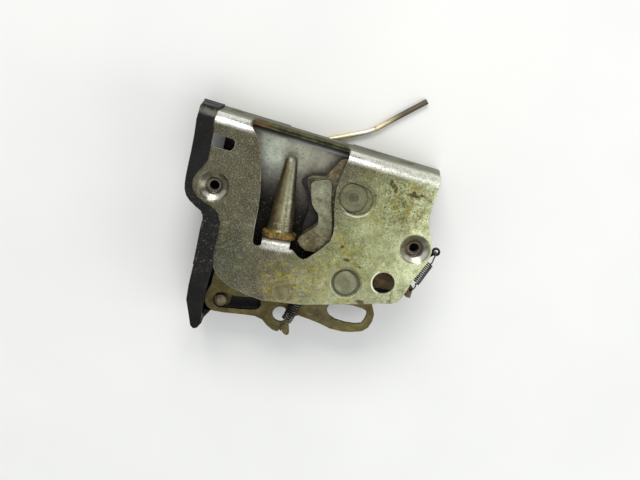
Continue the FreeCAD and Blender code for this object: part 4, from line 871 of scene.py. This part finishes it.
HOUSING_FLOOR_Z = -16.5


def pawl_spring():
    """Eye end at the housing, tab end at the pawl."""
    eye_x, eye_y = 63.2, -0.9
    z = HOUSING_FLOOR_Z + 7.6
    eye = [(eye_x - 0.3, eye_y - 1.5, z - 3.9), (eye_x + 0.05, eye_y - 0.4, z - 3.6),
           (eye_x + 0.1, eye_y - 0.25, z - 2.4), (eye_x + 0.1, eye_y - 0.3, z - 0.9),
           (eye_x + 0.0, eye_y - 0.9, z + 0.1), (eye_x - 0.2, eye_y - 2.2, z + 0.6),
           (eye_x - 0.5, eye_y - 3.9, z + 1.0), (62.5, -6.0, z + 1.7)]
    tab = [(58.2, -19.6, z + 1.9), (58.0, -20.3, z + 2.5), (57.3, -21.4, z + 3.4),
           (56.7, -22.05, z + 3.5), (56.3, -22.4, z + 2.9), (56.3, -22.4, z + 1.0),
           (56.2, -22.2, z - 0.9)]
    path = coil_path((61.75, -7.1, z), (58.0, -18.6, z), radius=1.95, turns=12.0,
                     lead_in=eye, lead_out=tab)
    attach_spring(wire("pawl_spring_wire", path, radius=0.36), "pawl_spring")


def release_spring():
    """Tab end at the housing, ear end at the release lever."""
    z = -16.2
    tab = [(6.35, -39.45, -19.2), (6.4, -39.4, -18.4), (6.4, -39.4, -17.0),
           (6.3, -40.3, -14.8), (5.8, -42.4, -13.9), (5.3, -44.0, -13.6)]
    ear = [(1.4, -60.0, -14.4), (0.9, -61.2, -15.2), (0.6, -62.4, -16.6),
           (0.5, -63.9, -18.0), (0.52, -65.4, -18.9), (0.52, -65.5, -20.4),
           (0.52, -65.5, -22.0), (0.3, -64.7, -22.6), (-0.1, -63.4, -22.7)]
    path = coil_path((4.95, -45.0, z), (1.7, -58.8, z - 0.2), radius=2.60, turns=11.0,
                     lead_in=tab, lead_out=ear)
    attach_spring(wire("release_spring_wire", path, radius=0.42), "release_spring")


def fork_spring():
    """Torsion spring: inner leg on the housing floor, outer leg in the fork."""
    x, y = FORK_AXIS
    z = HOUSING_FLOOR_Z + 0.6
    radius, rise, turns, steps = 6.6, 2.5, 2.15, 54
    path = [Vector((x + radius + 2.2, y - 9.5, z)), Vector((x + 6.9, y - 5.0, z)),
            Vector((x + radius, y - 2.5, z))]
    for i in range(steps + 1):
        angle = 2 * math.pi * turns * i / steps
        path.append(Vector((x + radius * math.cos(angle), y + radius * math.sin(angle),
                            z + rise * i / steps)))
    along_x, along_y = -math.sin(angle), math.cos(angle)
    end = path[-1]
    path += [end + Vector((along_x * 1.4, along_y * 1.4, 0.05)),
             end + Vector((along_x * 2.6 + 0.2, along_y * 2.6, 0.3))]
    attach_spring(wire("fork_spring_wire", path, radius=0.45), "fork_spring")


pawl_spring()
release_spring()
fork_spring()

# ------------------------------------------------------------------ nuts and flange


def nut_thread(name, at, bottom=-8.1, top=-4.6, radius=2.5, pitch=1.0):
    """Raised helical crest inside a nut."""
    bm = bmesh.new()
    per_turn = 28
    steps = int((top - bottom) / pitch * per_turn)
    previous = None
    for i in range(steps + 1):
        angle = 2 * math.pi * i / per_turn
        z = bottom + (top - bottom) * i / steps
        crest = -0.30 * min(1.0, i / per_turn, (steps - i) / per_turn)
        row = []
        for dz, dr in ((-0.36, 0.03), (-0.06, crest), (0.06, crest), (0.36, 0.03)):
            row.append(bm.verts.new(Vector((at[0] + (radius + dr) * math.cos(angle),
                                            at[1] + (radius + dr) * math.sin(angle),
                                            z + dz)) * MM))
        if previous:
            for j in range(3):
                bm.faces.new((previous[j], previous[j + 1], row[j + 1], row[j]))
        previous = row
    ride_housing(finish_mesh(name, bm, MATERIALS["nut_steel"]))


def weld_bead(name, at, first, last, seed, material):
    """Lumpy bead along an arc between two angles round a nut."""
    centre_z, arc_radius, bead_radius, squash = -4.55, 5.75, 0.65, 0.8
    steps, sides = 64, 8
    bm = bmesh.new()
    rings = []
    for i in range(steps + 1):
        a = first + (last - first) * i / steps
        taper = max(0.15, min(1.0, i / 5.0, (steps - i) / 5.0))
        lump = noise.noise(Vector((math.cos(a) * 2.1 + seed, math.sin(a) * 2.1, seed)))
        thick = bead_radius * (0.75 + 0.5 * lump) * taper
        ring = []
        for j in range(sides):
            b = 2 * math.pi * j / sides
            r = thick * (1 + 0.18 * noise.noise(Vector((a * 3 + seed, b, 1.7))))
            reach = arc_radius + r * math.cos(b)
            ring.append(bm.verts.new(Vector((at[0] + reach * math.cos(a),
                                             at[1] + reach * math.sin(a),
                                             centre_z + r * math.sin(b) * squash)) * MM))
        rings.append(ring)
    for near, far in zip(rings, rings[1:]):
        for j in range(sides):
            after = (j + 1) % sides
            bm.faces.new((near[j], near[after], far[after], far[j]))
    bm.faces.new(rings[0])
    bm.faces.new(rings[-1])
    bmesh.ops.remove_doubles(bm, verts=bm.verts, dist=1e-7)
    ride_housing(finish_mesh(name, bm, material))


def flange_burr():
    """Pressed burr on the mouth edge of the flange."""
    steps = 14
    bm = bmesh.new()
    rows = []
    for i in range(steps + 1):
        x = -14.0 + 5.4 * i / steps
        swell = math.sin(math.pi * i / steps)
        out = 0.08 + 0.65 * swell * (0.8 + 0.3 * noise.noise(Vector((i * 0.7, 0, 0))))
        section = ((0.0, -13.6), (0.15 + out, -13.2), (0.1 + out * 0.8, -12.4), (0.0, -12.05))
        rows.append([bm.verts.new(Vector((x, 35.97 + dy, z)) * MM) for dy, z in section])
    for near, far in zip(rows, rows[1:]):
        for j in range(3):
            bm.faces.new((near[j], near[j + 1], far[j + 1], far[j]))
    ride_housing(finish_mesh("flange_burr", bm, MATERIALS["zinc_plate"]))


for name, at in (("left_nut_thread", LEFT_SCREW), ("right_nut_thread", RIGHT_SCREW)):
    nut_thread(name, at)

weld_material = worn_metal("weld_bead_mat", base=(0.14, 0.13, 0.10), alt=(0.08, 0.07, 0.05),
                           seed=7.5, rust=0.4, depth=0.00015)
WELD_ARCS = ((0.3, 1.1), (2.4, 3.2), (4.5, 5.3))  # first and last angle, radians
for name, at, seed in (("left_nut_weld", LEFT_SCREW, 2.0),
                       ("right_nut_weld", RIGHT_SCREW, 5.0)):
    for index, (first, last) in enumerate(WELD_ARCS):
        weld_bead("%s_%d" % (name, index), at, first, last, seed + index, weld_material)

flange_burr()

# ------------------------------------------------------------------ stage


def add_floor():
    bpy.ops.mesh.primitive_plane_add(size=6.0, location=(0, 0, -0.0412 + LIFT))
    floor = bpy.context.object
    floor.name = "floor"
    net = Net("floor_mat")
    net.base(net.mottle(scale=6, detail=3, seed=200, over=(0.3, 0.7)),
             (0.93, 0.935, 0.90), (0.88, 0.885, 0.86))
    floor.data.materials.append(net.finish(
        rough=0.55, metal=0.0, height=net.noise(scale=14, detail=3, seed=201), depth=0.0006))


def add_light(name, location, size, power, color=(1, 1, 1), size_y=None):
    """Area light aimed just below the middle of the plate."""
    light = bpy.data.lights.new(name, "AREA")
    light.energy = power
    light.color = color
    light.size = size
    if size_y:
        light.shape = "RECTANGLE"
        light.size_y = size_y
    lamp = bpy.data.objects.new(name, light)
    bpy.context.scene.collection.objects.link(lamp)
    lamp.location = location
    aim = Vector((0, 0, -0.02)) - Vector(location)
    lamp.rotation_euler = aim.to_track_quat("-Z", "Y").to_euler()


def add_world():
    world = bpy.data.worlds.new("studio")
    bpy.context.scene.world = world
    world.use_nodes = True
    background = world.node_tree.nodes["Background"]
    background.inputs["Color"].default_value = (0.95, 0.97, 1.0, 1.0)
    background.inputs["Strength"].default_value = 0.44


def add_camera():
    """Looks down on the plate, turned about Z and tilted toward -Y."""
    turn, tilt = math.radians(16.677), math.radians(12.5)
    right = Vector((math.cos(turn), math.sin(turn), 0))
    level_up = Vector((-math.sin(turn), math.cos(turn), 0))
    down = Vector((0, 0, 1))
    forward = -math.sin(tilt) * level_up - math.cos(tilt) * down
    up = math.cos(tilt) * level_up - math.sin(tilt) * down
    lens = bpy.data.cameras.new("camera")
    lens.sensor_width = 36.0
    lens.lens = 46.63125
    lens.clip_start = 0.01
    camera = bpy.data.objects.new("camera", lens)
    bpy.context.scene.collection.objects.link(camera)
    pose = Matrix((right, up, -forward)).transposed().to_4x4()
    pose.translation = Vector((-0.01967, 0.07389, 0.39259 + LIFT))
    camera.matrix_world = pose
    bpy.context.scene.camera = camera


add_floor()
add_light("key", (-0.35, 1.25, 1.15), size=1.1, size_y=0.7, power=16.5, color=(1.0, 0.99, 0.96))
add_light("fill_right", (1.35, -0.15, 0.85), size=0.9, power=5.5, color=(0.97, 0.98, 1.0))
add_light("top", (0.25, -0.35, 1.6), size=0.9, power=6.0)
add_world()
add_camera()
bpy.context.scene.view_settings.view_transform = "Standard"

save_size()
